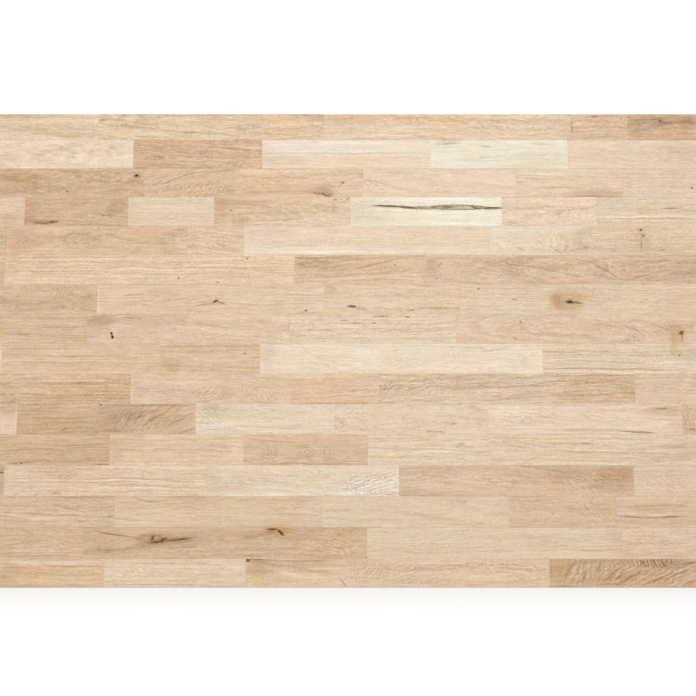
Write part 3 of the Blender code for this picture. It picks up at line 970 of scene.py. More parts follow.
# %% Row 8
chalk(8, 1, "tan", "quarter", -2, 4, marks=(
    lift(251.5, 19, 12, 13, 0.16), stain(150.5, 20.5, 6.6, 11, ORANGE, 0.45),
    line(174, 29, 17, 1.6, 0.8, broken=0.7), line(225, 29, 40, 0.9), glint(240, 2, 21, 1.2, 0.9),
    glint(227, 12, 45, 1.1, 0.6), glint(214, 23.5, 48, 1.1), line(227, 17, 40, 0.9, 0.5),
))
chalk(8, 2, "rose", "flat", -3, 1, bold=0.9, wave=0.6, marks=(
    shade(2, 20.5, 16, 23, 0.13), lift(267, 20.5, 16, 23, 0.4), lift(201, 20.5, 66, 8, 0.3, soft=0.7),
    shade(28, 7.5, 27, 7, 0.3), shade(80, 11, 27, 8, 0.22), shade(17, 9.5, 19, 9, 0.42, soft=0.9),
    glint(39.5, 4.5, 11, 1.3, 0.8, 12), line(61, 6, 13, 1.3, 0.6, -4, broken=0.2),
    line(49, 1.5, 11, 1.1, 0.5, 3), stain(19, 35, 13, 4.8, PALE, 0.9),
    dash(33, 26, 1.7, 1.5, SOOT, 0.95, broken=0, soft=0.4),
    dash(33.5, 28.5, 1.5, 1.3, DARK, 0.9, broken=0, soft=0.6),
    dash(34.5, 30.5, 1.9, 1.7, SOOT, 1, broken=0, soft=0.4), glint(38.5, 27.5, 3.4, 1.3, 0.5, 70),
    ripples(110, 11, 27, 9, 4.8, -12, 0.3), ripples(170, 21.5, 29, 11, 4.5, 20, 0.25),
    stain(169, 11, 16, 7, ROSE, 0.3),
))
chalk(8, 3, "straw", "rift", -3, -2, marks=(
    shade(2, 20.5, 16, 23, 0.14), dash(121.5, 3.5, 12, 1.3, DARK, broken=0.3),
    dash(156.5, 4, 4, 1.2, DARK, broken=0.1), dash(72, 9, 6.1, 1.2, DARK, 0.55, broken=0.2),
    line(86, 13, 11, 1.1, 0.8, broken=0.2), dash(112, 13, 2.9, 1.2, DARK, 0.7, broken=0),
    glint(40, 27, 24, 1.3, 0.8), glint(113, 30.5, 40, 1.1, 0.6), line(67, 33, 48, 0.9, 0.45),
    glint(186, 9.5, 27, 1.1, 0.5, 4), line(173, 23, 37, 0.9, 0.4, 3), glint(14, 9.5, 13, 1.1),
))
chalk(8, 4, "rose", "arched", -2, 2, bold=0.9, wave=0.5, marks=(
    shade(237, 16.5, 78, 8, 0.13, soft=0.7), lift(80, 25.5, 78, 13, 0.3, soft=0.7),
    shade(280, 29.5, 26, 8, 0.2), lift(21, 13.5, 21, 7, 0.36), shade(289, 19, 11, 5.3, 0.24),
    shade(237, 34, 16, 6, 0.26), line(78, 33, 3.2, 1.3, 0.9, -10, broken=0),
    dash(86, 11, 2.1, 1.2, DARK, 0.7, broken=0), gleam(89.5, 10.5, 2.7, 1.7, 0.9),
    ripples(118, 16.5, 34, 12, 5.3, -6, 0.3), ripples(207, 16.5, 40, 15, 6.6, -24, 0.25),
    ripples(244, 24.5, 27, 13, 5.8, -34, 0.2), glint(231, 11, 17, 1.2, 0.6, -19),
    glint(254, 22.5, 13, 1.2, 0.6, -34), glint(266, 32.5, 7.9, 1.1, 0.5, -50),
    line(236, 21, 12, 1.1, 0.6, -12), line(233, 29.5, 6.6, 1.1, 0.5, -40), line(199, 15, 16, 1.1, 0.5, -10),
    line(270.5, 16.5, 12, 1.1, 0.5, -20), arcs(233, 29.5, 19, 11, 5.3, -18.5, -10.6, 1.3, 0.35),
    stain(164, 21.5, 66, 16, ROSE, 0.25), stain(292.5, 30.5, 11, 16, HONEY, 1, soft=0.6),
    stain(290, 36.5, 6, 9, BRONZE, 0.45), ripples(286.5, 15, 11, 8, 3.7, 44, 0.3),
    knot(298.4, 26, 3.4, 2.9, 20, flow=1, core=BROWN), line(299, 34, 4.8, 1.3, 0.85, 86, broken=0.1),
))
chalk(8, 5, "wheat", "flat")
tell(8)

# %% Row 9
chalk(9, 1, "straw", "quarter")
chalk(9, 2, "fawn", "quarter", 0, 1, bold=0.9, marks=(
    shade(25, 11, 24, 8, 0.2), glint(101, 22.5, 98, 1.1, 0.65), line(90, 25, 92, 0.8, 0.45, broken=0.3),
    line(117, 17, 79, 0.8, 0.4), glint(104, 38.5, 98, 1.2), stain(143, 8.5, 29, 5.3, PINK, 0.7),
    glint(50, 11, 45, 0.9, 0.4), line(50, 6.5, 45, 0.9, 0.5),
))
chalk(9, 3, "fawn", "rift", -2, 2, mottle=0.5, marks=(
    pin(112.1, 12.9, 0.8, tint=DARK), line(66, 3, 64, 1.3, broken=0.3), line(40, 11, 32, 0.9, 0.5),
    glint(73, 24.5, 34, 1.1, 0.5, 2), shade(14, 28.5, 13, 9, 0.28), glint(103, 35, 26, 1.1, 0.5, -4),
))
chalk(9, 4, "cream", "quarter", -2, 2, bold=0.65, wave=0.6, mottle=0.4, marks=(
    shade(3, 20.5, 16, 22, 0.15), shade(10.5, 11, 11, 8, 0.22), glint(3, 20.5, 17, 0.9, 0.35, 90),
    stain(140, 19, 21, 12, PALE, 0.9), ripples(53, 11, 34, 9, 5.3, -8, 0.25),
    ripples(113, 30, 37, 9, 5.3, -16, 0.25), arcs(190, 26.5, 22, 7, 4, 2.6, -7.9, 1.7, 0.35),
    arcs(267, 11, 16, 11, 4.5, 8, -2.6, 1.4, 0.25), stain(284, 26, 16, 12, PINK, 0.8),
    dash(310, 7, 19, 1.3, GREY, 1, 7, broken=0.3), dash(294, 5, 7.9, 1.2, GREY, 0.9, -10),
    stain(350, 23, 5.3, 8, GREY, 0.4), gleam(238, 35, 45, 1.2, 0.6), gleam(66, 3.5, 40, 1.1),
))
chalk(9, 5, "olive", "rift", 0, -2, marks=(
    lift(3, 20.5, 16, 22, 0.27), shade(194, 18, 13, 11, 0.14), shade(193.5, 5, 11, 5.3, 0.22),
    line(80, 34, 108, 1.1, 0.7, broken=0.2), glint(91, 38.5, 105, 1.3, 0.75),
    glint(62, 19, 45, 1.1, 0.6, 3), line(91, 24.5, 61, 0.9, 0.55, -2, broken=0.3),
    stain(176.5, 8.5, 9, 10, HONEY, 1, soft=0.5), stain(174, 9.5, 5.3, 8, BRONZE, 0.4, soft=0.8),
    pin(180.8, 16.3, 0.9, tint=DARK), line(23, 12.5, 24, 1.1, 0.5), glint(154, 26, 40, 1.1, 0.4, -2),
    ripples(63, 8.5, 40, 7, 4.5, -8, 0.25),
))
tell(9)

# %% Row 10
chalk(10, 1, "tan", "quarter", -1, 4, bold=1.25, wave=0.4, marks=(
    shade(321, 20, 16, 22, 0.13), shade(238, 34, 83, 3.9, 0.29, soft=0.7), lift(237, 11, 26, 7, 0.36),
    shade(154, 20, 18, 11, 0.24), stain(253, 19, 42, 8, ORANGE), glint(230, 10, 79, 1.1, 0.8, -0.5),
    glint(273, 16, 53, 1.1, 0.7, 1), line(244, 13, 79, 1.1, 0.4, broken=0.3),
    glint(211, 23.5, 53, 0.9, 0.6, 1), line(231, 28, 79, 1.1, 0.4, -1, broken=0.3),
    glint(271, 35, 53, 1.1, 0.7, -1), line(290, 24, 29, 1.1, 0.4, 4), glint(188, 2.5, 34, 1.2, 0.8),
    dash(166, 37.5, 13, 1.2, DARK, 0.5),
))
chalk(10, 2, "rose", "flat", 1, 1, bold=0.8, wave=0.8, marks=(
    shade(2, 20, 16, 22, 0.16), glint(2, 20, 18, 0.9, 0.7, 90), ripples(100, 27.5, 24, 8, 4.2, 30, 0.55),
    shade(129, 28, 11, 8, 0.28), ripples(47, 21.5, 26, 11, 4.7, -36, 0.3),
    ripples(155, 27, 16, 11, 3.9, 54), ripples(173, 32, 18, 9, 3.9, -30),
    ripples(157, 8.5, 32, 7, 4.2, -20, 0.35), arcs(192, 27, 13, 11, 3.9, -5.3, 0, 1.2, 0.3),
    line(174, 38.5, 32, 0.9, 0.5),
))
chalk(10, 3, "rose", "quarter", 0, 3, bold=0.9, marks=(
    shade(11, 20, 12, 13, 0.1), stain(23, 35.5, 20, 4.5, ROSE), stain(45, 19, 39, 8, PEACH, 0.6),
    ripples(72, 20, 37, 12, 4.5, 6, 0.25), line(58, 39.5, 58, 0.9, broken=0.2), glint(39, 4.5, 40, 1.1),
))
chalk(10, 4, "fawn", "lined", 1, -7, bold=1.15, slant=0.03, marks=(
    shade(334, 20, 16, 22, 0.17), shade(85, 3, 82, 2.6, 0.2, soft=0.7), shade(211, 29.5, 47, 8, 0.22),
    lift(76, 17.5, 18, 8, 0.36), ripples(11, 17.5, 14, 7, 4.5, 38, 0.9), ripples(53, 17.5, 39, 13, 5.5, 17),
    ripples(130, 13.5, 66, 11, 5.8, 4, 0.3), ripples(244, 13.5, 79, 12, 6.1, 5, 0.3),
    ripples(306, 19, 34, 14, 5.3, -6), dash(304, 2.5, 66, 0.9, DARK, 0.5, broken=0.3),
    line(169, 16, 61, 1.1, 0.35), glint(185, 13, 79, 1.1, 0.6, 1), line(238, 10.5, 53, 1.1, 0.35, 5),
    glint(79, 29.5, 53, 1.1, 0.5, 3), ripples(158, 31, 39, 7, 4.2, -5, 0.35),
    ripples(66, 32, 39, 7, 4.2, 10, 0.3), stain(294, 21.5, 58, 20, BRONZE, 0.55, soft=0.6),
))
chalk(10, 5, "rose", "rift", -4, 3, bold=0.9, marks=(
    glint(70, 19, 13, 1.1),
))
tell(10)

# %% Row 11
chalk(11, 1, "rose", "rift", -4, 1, bold=0.8, marks=(
    lift(164.5, 30, 12, 9, 0.55, soft=0.7), shade(163.5, 6.5, 12, 7, 0.38, soft=0.7),
    glint(174, 19.5, 17, 0.9, 0.8, 90),
))
chalk(11, 2, "caramel", "rift", -2, 8, bold=1.1, marks=(
    lift(95.5, 19.5, 12, 13, 0.16), glint(79, 3, 30, 1.7, 0.8, -1), stain(41, 26.5, 29, 7, HONEY, 0.6),
    line(62, 33.5, 4.4, 1.2, 0.8, 20, broken=0), glint(37, 30, 21, 0.9), line(56, 18.5, 39, 1, 0.5),
    line(29, 9, 26, 1.2, 0.5), glint(56, 13, 34, 1, 0.5, 1),
))
chalk(11, 3, "bark", "lined", 8, -3, bold=0.7, slant=0.12, marks=(
    shade(2, 19.5, 16, 22, 0.14), lift(125, 19.5, 16, 22, 0.48), stain(32, 18.5, 18, 10, OLIVE, 0.2),
    shade(35, 35.5, 18, 3.9, 0.28), pin(1.5, 1.1, 0.8), stain(16, 26.5, 14, 10, OLIVE, 0.3, soft=0.7),
    stain(38, 12, 34, 9, OLIVE, 0.3, broken=0.3), ripples(33, 22.5, 14, 16, 5.8, 60, 0.5, curve=0.004),
    ripples(57, 18.5, 18, 17, 5.5, 42, 0.5, curve=0.003), ripples(87, 14.5, 29, 16, 5.5, 25, 0.5),
    ripples(112, 25, 18, 16, 5.2, 18, 0.3), glint(29.5, 26.5, 10, 1.2, 0.7, 62),
    glint(46, 22.5, 12, 1.2, 0.7, 52), glint(58, 26.5, 10, 1.2, 0.6, 44), glint(69.5, 13, 10, 1, 0.6, 40),
    glint(91, 19.5, 16, 1.2, 0.7, 26), glint(106, 12, 13, 1, 0.5, 20),
    dash(38.5, 21, 10, 1.3, DARK, 0.4, 58), dash(52.5, 17, 10, 1.3, DARK, 0.45, 48),
    dash(66, 22.5, 12, 1.3, DARK, 0.45, 40), dash(80, 14.5, 13, 1.3, DARK, 0.45, 30),
    dash(101, 23.5, 13, 1.3, DARK, 0.4, 24), dash(114, 16, 10, 1.2, DARK, 0.35, 20),
    dash(117, 35, 14, 1.3, DARK, 0.5, 18), line(15, 36, 14, 1.6, 0.7, broken=0.5),
    dash(67, 2, 58, 0.9, DARK, 0.45), glint(71.5, 30, 10, 1, 0.6, 58), stain(80, 27.5, 21, 8, HONEY, 0.4),
    glint(127, 19.5, 18, 0.8, 0.6, 90),
))
chalk(11, 4, "ivory", "quarter", -4, 2, bold=0.7, wave=0.4, marks=(
    lift(92, 27.5, 89, 5.2, 0.35, soft=0.7), shade(30, 10.5, 31, 8, 0.22), shade(17, 4.5, 13, 3.9, 0.28),
    stain(64, 16, 66, 12, SAGE, 0.8), ripples(17, 16, 17, 12, 5, -34), dash(24, 33.5, 12, 1.2, GREY, 1),
    dash(13.5, 25, 9, 1, GREY, 0.9, -8), gleam(117, 36.5, 63, 1.6, 0.8, -1), gleam(45, 30, 39, 1, 0.6, -4),
    dash(97, 31.5, 39, 0.9, GREY, 0.8, -3), stain(90, 38, 21, 1.8, ROSE, 0.4),
    ripples(84, 10.5, 45, 8, 4.7, -5, 0.3), gleam(137, 3, 34, 1, 0.6),
))
chalk(11, 5, "straw", "flat", -3, 1, bold=0.8, wave=0.5, fleck=0.7, mottle=0.5, marks=(
    lift(33, 11.5, 31, 7, 0.36), arcs(8.5, 26.5, 10, 9, 3.7, 0, 0, 1.1, 0.55),
    ripples(44, 33, 14, 5.9, 3.9, -30, 0.45), ripples(28, 12, 18, 7, 3.9, 20, 0.25),
    arcs(101, 23.5, 16, 10, 3.9, 0, -5.2, 1.4, 0.3), ripples(138, 30, 24, 7, 4.2, 18, 0.35),
    arcs(195.5, 26.5, 7.9, 9, 3.4, 2.6, 0, 1, 0.5), glint(154, 5, 21, 0.9), line(133, 36, 13, 1),
))
chalk(11, 6, "blush", "rift", -4, 2, bold=0.85, marks=(
    lift(11.5, 19.5, 12, 13, 0.14), shade(253, 19.5, 16, 22, 0.19), lift(32, 11.5, 29, 7, 0.3),
    shade(223, 11, 29, 7, 0.2), shade(232, 9, 26, 7, 0.32), stain(32, 10.5, 31, 8, PALE, 0.9),
    ripples(52, 17, 42, 10, 5.5, -13, 0.45), dash(196, 37.5, 24, 1.3, DARK, 0.7, -3, broken=0.1),
    shade(133, 35.5, 47, 2.4, 0.4, soft=0.8), dash(228, 6.5, 7.9, 1.4, DARK, 0.55, broken=0.1),
    ripples(134, 16, 45, 10, 5.2, -6, 0.3), glint(94, 22.5, 39, 1, 0.6, -6), glint(179, 32.5, 39, 1),
    line(219, 19.5, 29, 0.9, 0.4, -5),
))
chalk(11, 7, "tan", "flat", -1, 2, bold=1.1, wave=0.6, marks=(
    arcs(7, 22.5, 10, 16, 4.7, 21, -13.1, 1, 0.6),
))
tell(11)

# %% Row 12
chalk(12, 1, "caramel", "quarter", -2, 6, bold=1.1, wave=0.6, marks=(
    lift(225, 2, 68, 2.6, soft=0.7), ripples(229, 23, 21, 5.2, 3.9, 24, 0.55),
    stain(223, 23, 26, 5.2, ROSE, 0.3), stain(235.5, 31.5, 6.5, 5.2, HONEY, 0.8),
    dash(185, 37, 18, 1, DARK, 0.5), pin(183.8, 37.3, 0.7), dash(292, 38.5, 16, 1, DARK, 0.45),
    line(234, 35, 39, 1, 0.4, broken=0.3), glint(220, 16.5, 60, 1, 0.7, -1),
    line(208, 19.5, 52, 0.9, 0.6, 3, broken=0.3), glint(187, 7, 31, 1.2), line(260, 12.5, 34, 0.9, 0.5),
    stain(280, 30.5, 18, 7, ROSE, 0.3),
))
chalk(12, 2, "wheat", "rift", -4, 6, bold=0.9, marks=(
    lift(173, 20, 16, 22, 0.31), shade(2, 20, 16, 22, 0.17), shade(28, 13.5, 26, 12, 0.18),
    stain(21, 33, 16, 7, PALE), glint(40, 18.5, 26, 1, 0.6), line(27, 23, 21, 0.8, 0.4),
    glint(105, 8.5, 44, 1, 0.4, -1), ripples(92, 25.5, 39, 10, 4.7, 5, 0.25), line(152, 5, 16, 0.9, 0.4),
))
chalk(12, 3, "tan", "flat", 0, -3, bold=0.9, wave=0.5, mottle=0.5, marks=(
    arcs(109, 24.5, 8, 7, 3.4, 0, 0, 1.2, 0.65), arcs(81.5, 24, 9, 8, 3.4, 2.6, 0, 1.1, 0.6),
    arcs(87, 11, 12, 5.2, 3.4, 0, 0, 1.6), arcs(36, 23, 12, 10, 3.9, -10.4, 0, 1.6, 0.45),
    glint(42.5, 32.5, 10, 1.2, 0.8, -5), stain(54.5, 38.5, 5.2, 1.3, ROSE, 0.9),
    line(87, 39, 65, 0.8, broken=0.2), line(139, 36, 21, 1, 0.5), line(41, 8.5, 34, 1, 0.5, -2, broken=0.3),
))
chalk(12, 4, "olive", "rift", bold=0.95, marks=(
    stain(122, 14, 6.5, 4.4, SAGE, 1, soft=0.6), dash(122, 11.5, 4.7, 1.2, ASH, 0.8),
    dash(118, 15.5, 3.9, 1, ASH, 0.7), stain(105, 2.5, 26, 1.7, PALE, 0.8),
    line(55, 18.5, 52, 0.9, 0.5, -1, broken=0.3), glint(68, 22, 52, 1, 0.6), line(42, 29.5, 39, 0.9, 0.4),
    glint(94, 36.5, 34, 1.2, 0.7), stain(133, 33, 18, 5.2, SAGE),
))
chalk(12, 5, "olive", "lined", 0, 1, bold=0.9, marks=(
    shade(241, 29.5, 26, 7, 0.22), shade(261, 15, 21, 10, 0.22),
    dash(126.5, 12, 7.8, 1.2, DARK, 0.5, broken=0.2), line(104, 11.5, 34, 0.9, 0.5),
    stain(240, 15, 20, 2.4, OLIVE, 0.3), ripples(37, 11, 37, 9, 5.2, -10, 0.5), glint(111, 2.5, 58, 1, 0.6),
    glint(143, 19.5, 39, 1, 0.6, -2), glint(117, 38, 78, 1.2, 0.75),
    line(143, 22.5, 60, 0.9, 0.5, broken=0.3), glint(45, 28, 39, 1, 0.5, -2),
    stain(72, 21.5, 23, 5.2, SAGE), ripples(208, 28, 44, 8, 4.7, -5, 0.35),
))
chalk(12, 6, "wheat", "rift")
tell(12)

# %% Row 13
chalk(13, 1, "bark", "rift", marks=(
    dash(157.5, 9, 3.9, 0.9, DARK, 0.8, broken=0),
))
chalk(13, 2, "wheat", "quarter", -8, 2, bold=0.95, wave=0.5, marks=(
    lift(263, 20.5, 16, 22, 0.31), shade(79, 11, 26, 7, 0.16), lift(198, 4, 65, 3.9, 0.38, soft=0.7),
    lift(198, 17, 65, 3.9, 0.42, soft=0.7), gleam(238, 4, 25, 2, 0.9), ripples(70, 6, 26, 7, 4.4, 9, 0.5),
    ripples(81, 15, 13, 5.2, 3.6, 22, 0.5), line(47, 9.5, 18, 1, 0.6, -5), glint(86, 19, 86, 1, 0.7, -0.5),
    glint(190, 21, 73, 1, 0.8, -2.5), line(177, 18, 65, 0.9, 0.6, -2, broken=0.2),
    line(99, 22, 78, 0.9, 0.5, broken=0.3), glint(113, 29.5, 91, 1, 0.6), line(68.5, 36, 7.8, 1.3, 0.7, -6),
    glint(203, 30, 57, 1, 0.7, -1), line(190, 27, 65, 0.9, 0.5, -1, broken=0.3),
    pin(67.3, 36, 0.4, tint=DARK),
))
chalk(13, 3, "ivory", "slash", -3, -1, bold=0.7, wave=0.5, marks=(
    shade(2, 20.5, 16, 22, 0.18), shade(31, 29.5, 31, 8, 0.22), gleam(88, 38.5, 65, 1.7, 0.85, 1.2),
    stain(146, 21.5, 19, 10, PINK, 0.9), stain(214, 30.5, 42, 13, SILVER, 1, 6, soft=0.9),
    ripples(214, 23, 34, 14, 4.4, 17, 0.85, tint=ASH), ripples(194, 30.5, 16, 8, 3.4, -40, 0.7, tint=ASH),
    ripples(224, 37, 26, 3.9, 3.4, 24, 0.8, tint=ASH), gleam(185, 36.5, 21, 1.6, 0.9),
    gleam(239.5, 21.5, 7.8, 12, 0.3), ripples(55, 15, 34, 12, 5.2, -8, 0.3),
    ripples(133, 8.5, 29, 8, 4.4, -30, 0.3), line(101, 23, 26, 0.9, 0.4, -8),
    gleam(247, 19, 18, 0.9, 0.7, 90),
))
chalk(13, 4, "tan", "slash", -2, -2, wave=0.4, marks=(
    shade(302, 20.5, 16, 22, 0.22), shade(274, 29.5, 26, 6, 0.15), shade(228, 3, 76, 2.6, 0.2, soft=0.7),
    lift(76, 20.5, 75, 10, 0.33, soft=0.7), shade(277, 11, 23, 8, 0.16), shade(213, 11, 31, 8, 0.22),
    shade(270, 25.5, 31, 10, 0.3), stain(3.5, 16.5, 6.5, 14, SAGE, 0.7), stain(282, 10, 26, 10, BRONZE),
    ripples(238, 20.5, 34, 16, 4.7, -30, 0.45), ripples(277, 12.5, 29, 10, 5.2, -12),
    stain(193, 20.5, 23, 8, ROSE, 0.4), line(183, 5, 42, 1.3, 0.5, -8, broken=0.3),
    glint(92, 14, 34, 1.2, 0.6, 10), ripples(34, 14, 26, 10, 5.7, 14, 0.35),
    ripples(131, 21.5, 39, 10, 5.2, -5, 0.3), glint(248, 29.5, 29, 1, 0.5, -20),
))
chalk(13, 5, "rose", "rift", -3, -2, bold=0.7, marks=(
    ripples(39, 21.5, 31, 16, 5.2, -38), glint(37, 6, 16, 1, 0.6, -30),
))
tell(13)

# %% Row 14
chalk(14, 1, "tan", "lined", -2, 2, wave=0.4, marks=(
    lift(233, 36, 71, 2.6, 0.4, soft=0.7), stain(208, 12.5, 34, 5.2, ROSE, 0.35),
    glint(209, 27.5, 35, 1.6, 1, -2, bend=0.0015), glint(230, 21, 39, 1, 0.7, -3),
    line(227, 23.5, 39, 1, 0.6, -3, broken=0.2), glint(184, 6.5, 23, 1),
    line(262, 1, 44, 1.2, 0.65, broken=0.3), line(250, 16, 28, 1, 0.6, -14, broken=0.3),
    glint(289, 31.5, 18, 1.3, 0.7, 6), stain(294, 20, 16, 10, GREY, 0.4),
    ripples(256, 8.5, 29, 8, 4.7, -10, 0.35), line(279, 31, 26, 1, 0.5),
))
chalk(14, 2, "olive", "rift", -9, 7, bold=0.75, wave=0.5, marks=(
    line(39, 4.5, 18, 1.2, 0.55, -12, bend=0.003), glint(46, 9.5, 16, 1.2, 0.6, -14),
    stain(209, 38, 17, 3.4, ORANGE, 0.9), lift(256, 20, 13, 18, 0.2), line(94, 1, 29, 1.3, broken=0.2),
    ripples(98, 12.5, 31, 8, 5.2, 12, 0.3), ripples(111, 20, 39, 9, 4.7, -5, 0.25),
    glint(47, 33, 44, 1.2, 0.6), line(21, 29.5, 31, 0.9, 0.4, -4), stain(92, 3.5, 29, 5.2, ROSE, 0.25),
    ripples(227, 15, 34, 9, 4.4, 4, 0.3), glint(230, 20, 28, 1, 0.6), line(230, 23.5, 28, 0.9, 0.5),
))
chalk(14, 3, "olive", "flat", -3, 1, bold=0.65, marks=(
    shade(240, 20, 16, 22, 0.15), stain(155, 15, 34, 12, PINK), glint(114, 26.5, 31, 0.9, 0.4),
    line(185, 35.5, 26, 0.8, 0.4), ripples(62, 10, 34, 6, 4.7, 0, 0.2),
))
chalk(14, 4, "fawn", "slash", -7, bold=0.85, wave=0.6, fleck=0.4, marks=(
    shade(125, 20, 13, 10, 0.1), pin(56.5, 22.9, 0.5, tint=DARK),
    ripples(100, 13.5, 26, 17, 4.7, -48, 0.24), ripples(123, 24, 18, 13, 4.4, -40, 0.2),
    glint(96, 8.5, 6.5, 1, 0.5, -44), glint(105, 15, 6.5, 1, 0.5, -48), glint(115, 21.5, 6.5, 1, 0.4, -40),
    line(101, 13.5, 5.2, 1, 0.5, -46), line(110, 10, 6.5, 1, 0.4, -30),
    ripples(34, 12.5, 26, 8, 4.7, 10, 0.3), glint(35, 27.5, 26, 1), glint(40, 10, 23, 1, 0.5, -6),
    stain(66, 12.5, 26, 8, ROSE, 0.25),
))
chalk(14, 5, "tan", "lined", -2, -3, bold=0.9, marks=(
    lift(10, 20, 13, 10, 0.2), line(43, 26.5, 44, 1.2, 0.7), dash(72, 26.5, 13, 1.3, DARK, 0.5),
    dash(17, 27.5, 14, 1, DARK, 0.4), glint(43, 23.5, 39, 1.2, 0.6), glint(50, 8.5, 39, 1.3, 0.6),
    line(57, 12, 39, 0.9), glint(31, 1.5, 31, 0.9), line(44, 16.5, 31, 0.9, 0.5, 2),
    glint(83, 26.5, 3.9, 1, 0.8),
))
tell(14)

# %% Row 15
chalk(15, 1, "tan", "rift", -3, 3, bold=0.95, marks=(
    shade(166, 27, 18, 9, 0.24), stain(202, 17, 21, 5.2, ROSE, 0.35), glint(212, 7, 46, 1),
    glint(226, 30, 39, 1, 0.4, -1), line(213, 36, 46, 1, 0.5, broken=0.3), line(193, 19.5, 26, 0.9, 0.5, 5),
    ripples(238, 24.5, 26, 10, 4.4, -12, 0.3),
))
chalk(15, 2, "caramel", "flat", 3, 1, bold=0.9, wave=0.5, marks=(
    shade(31, 28.5, 28, 8, 0.18), lift(335, 28.5, 31, 8, 0.4), shade(26, 21, 18, 9, 0.22),
    lift(300, 5.5, 23, 5.2, 0.4), shade(257.5, 12.5, 10, 6, 0.28),
    dash(40, 9, 31, 0.9, DARK, 0.6, -8.5, broken=0.2), stain(82, 18.5, 14, 9, BRONZE, 0.6),
    line(96.5, 15, 12, 5.2, 0.6, -6, broken=0.5, soft=0.9), stain(107, 10.5, 26, 6, HONEY),
    shade(109, 18.5, 41, 8, 0.35),
    mark(89.1, 14, 74, (
        paint(5.7, 2.32, DARK, soft=1, ragged=0.9, strength=0.6),
    ), flow=6.4, hollow=(3.1, 0.77, 1.6)),
    mark(94, 18.8, 4, (
        paint(8, 2.45, DARK, soft=1, ragged=0.9, strength=0.65),
    ), hollow=(4.9, 0.77, 1.6)),
    mark(103.2, 16, 28, (
        paint(6.2, 2.58, DARK, soft=1, ragged=0.9, strength=0.65),
    ), hollow=(3.4, 0.9, 1.6)),
    glint(94, 14, 3.1, 1.4, 0.8, 40), glint(105.5, 11, 3.9, 1, 0.7, 20), line(95.5, 10, 5.2, 1, 0.8, 10),
    dash(121, 16, 15, 1.9, DARK, 0.8, 6, broken=0.3, soft=0.8),
    dash(130, 14.5, 6.4, 1.3, BLACK, 0.45, 6, broken=0.2), stain(122, 16, 21, 4.4, OLIVE, 0.3, 6),
    line(141.5, 13, 7.7, 1, 0.7, 8), glint(129, 22, 18, 1, 0.6, 7), line(135, 25.5, 18, 0.9, 0.5, 4),
    ripples(138, 31, 33, 6, 4.4, 0, 0.35), ripples(63.5, 27, 12, 9, 3.9, -50), shade(170, 8, 77, 4.4, 0.3),
    glint(192, 23.5, 10, 1, 0.8, 38), glint(206, 22, 10, 1, 0.7, -40),
    arcs(209, 24.5, 7.7, 6, 3.3, 0, 0, 1.1, 0.5), arcs(274.5, 17, 6.4, 8, 3.4, 0, 0, 1, 0.6),
    arcs(326, 24.5, 26, 13, 4.9, -20.6, -15.5, 1.8, 0.5), stain(249, 1, 19, 4.4, ORANGE, 0.9),
    stain(259, 4.5, 10, 3.9, ORANGE, 0.5, -30), shade(247.5, 7, 12, 3.4, 0.55),
    stain(266.5, 8, 7.7, 9, SAGE, 0.8),
    mark(244.4, 2.7, 0, (
        paint(7.2, 1.68, DARK, soft=0.8, ragged=0.8, strength=0.85),
    ), hollow=(4.6, 0.65, 1.4)),
    mark(254.5, 7.1, -44, (
        paint(6.7, 1.94, DARK, soft=0.8, ragged=0.7, strength=0.9),
        paint(4.6, 1.03, BLACK, soft=0.8, ragged=0.5, strength=0.45),
    ), flow=5.2, hollow=(4.4, 0.84, 1.4)),
    ripples(215, 36, 77, 3.1, 3.9, -3, 0.25), stain(318, 13, 44, 8, ROSE, 0.25),
))
chalk(15, 3, "olive", "quarter", -4, bold=0.75, marks=(
    shade(327, 19.5, 15, 22, 0.2), dash(301, 28.5, 27, 1, ASH, 0.7, broken=0.3), glint(94, 17, 64, 1, 0.4),
    ripples(81, 26, 52, 8, 4.6, 2, 0.25), glint(172, 7.5, 57, 1), glint(275, 10.5, 31, 1.2, 0.5, 3),
    line(223, 13, 44, 0.8, 0.35), ripples(249, 23.5, 39, 8, 4.6, 5, 0.25), glint(287, 21, 31, 1),
))
chalk(15, 4, "rose", "rift", -5, 1, bold=0.9, marks=(
    lift(48, 7, 48, 9, 0.28, soft=0.7), glint(49, 8, 39, 1, 0.4), ripples(36, 17, 31, 9, 4.6, -16, 0.35),
    glint(61, 28.5, 31, 1, 0.5, -2), glint(2, 19.5, 14, 0.8, 0.4, 90),
))
tell(15)

# %% Row 16, at the front
chalk(16, 1, "fawn", "rift", -2, 3, marks=(
    shade(166, 29, 18, 6, 0.28), stain(220, 4, 72, 3.9, PALE, 0.6), glint(226, 4, 64, 1.2, 0.6, -0.5),
    stain(209, 19, 33, 10, ORANGE, 0.35), line(259, 9.5, 36, 0.9, broken=0.2),
    line(227, 33, 62, 0.9, broken=0.2), line(188, 11, 23, 1, 0.5), glint(253, 22.5, 36, 1),
    shade(173, 16, 13, 13, 0.2),
))
chalk(16, 2, "wheat", "quarter", -3, -1, bold=0.8, marks=(
    lift(170, 17.5, 13, 12, 0.15), gleam(19.5, 20, 5.1, 2.8, 0.8), gleam(37.5, 19.5, 5.1, 1.8, 0.8),
    ripples(46, 15, 21, 8, 4.1, -20, 0.35), ripples(111, 16, 44, 9, 4.6, 4, 0.25),
    dash(60, 32, 56, 0.9, ASH, 0.7, broken=0.2), glint(124, 25, 44, 1), line(72, 5, 39, 0.8, 0.4),
))
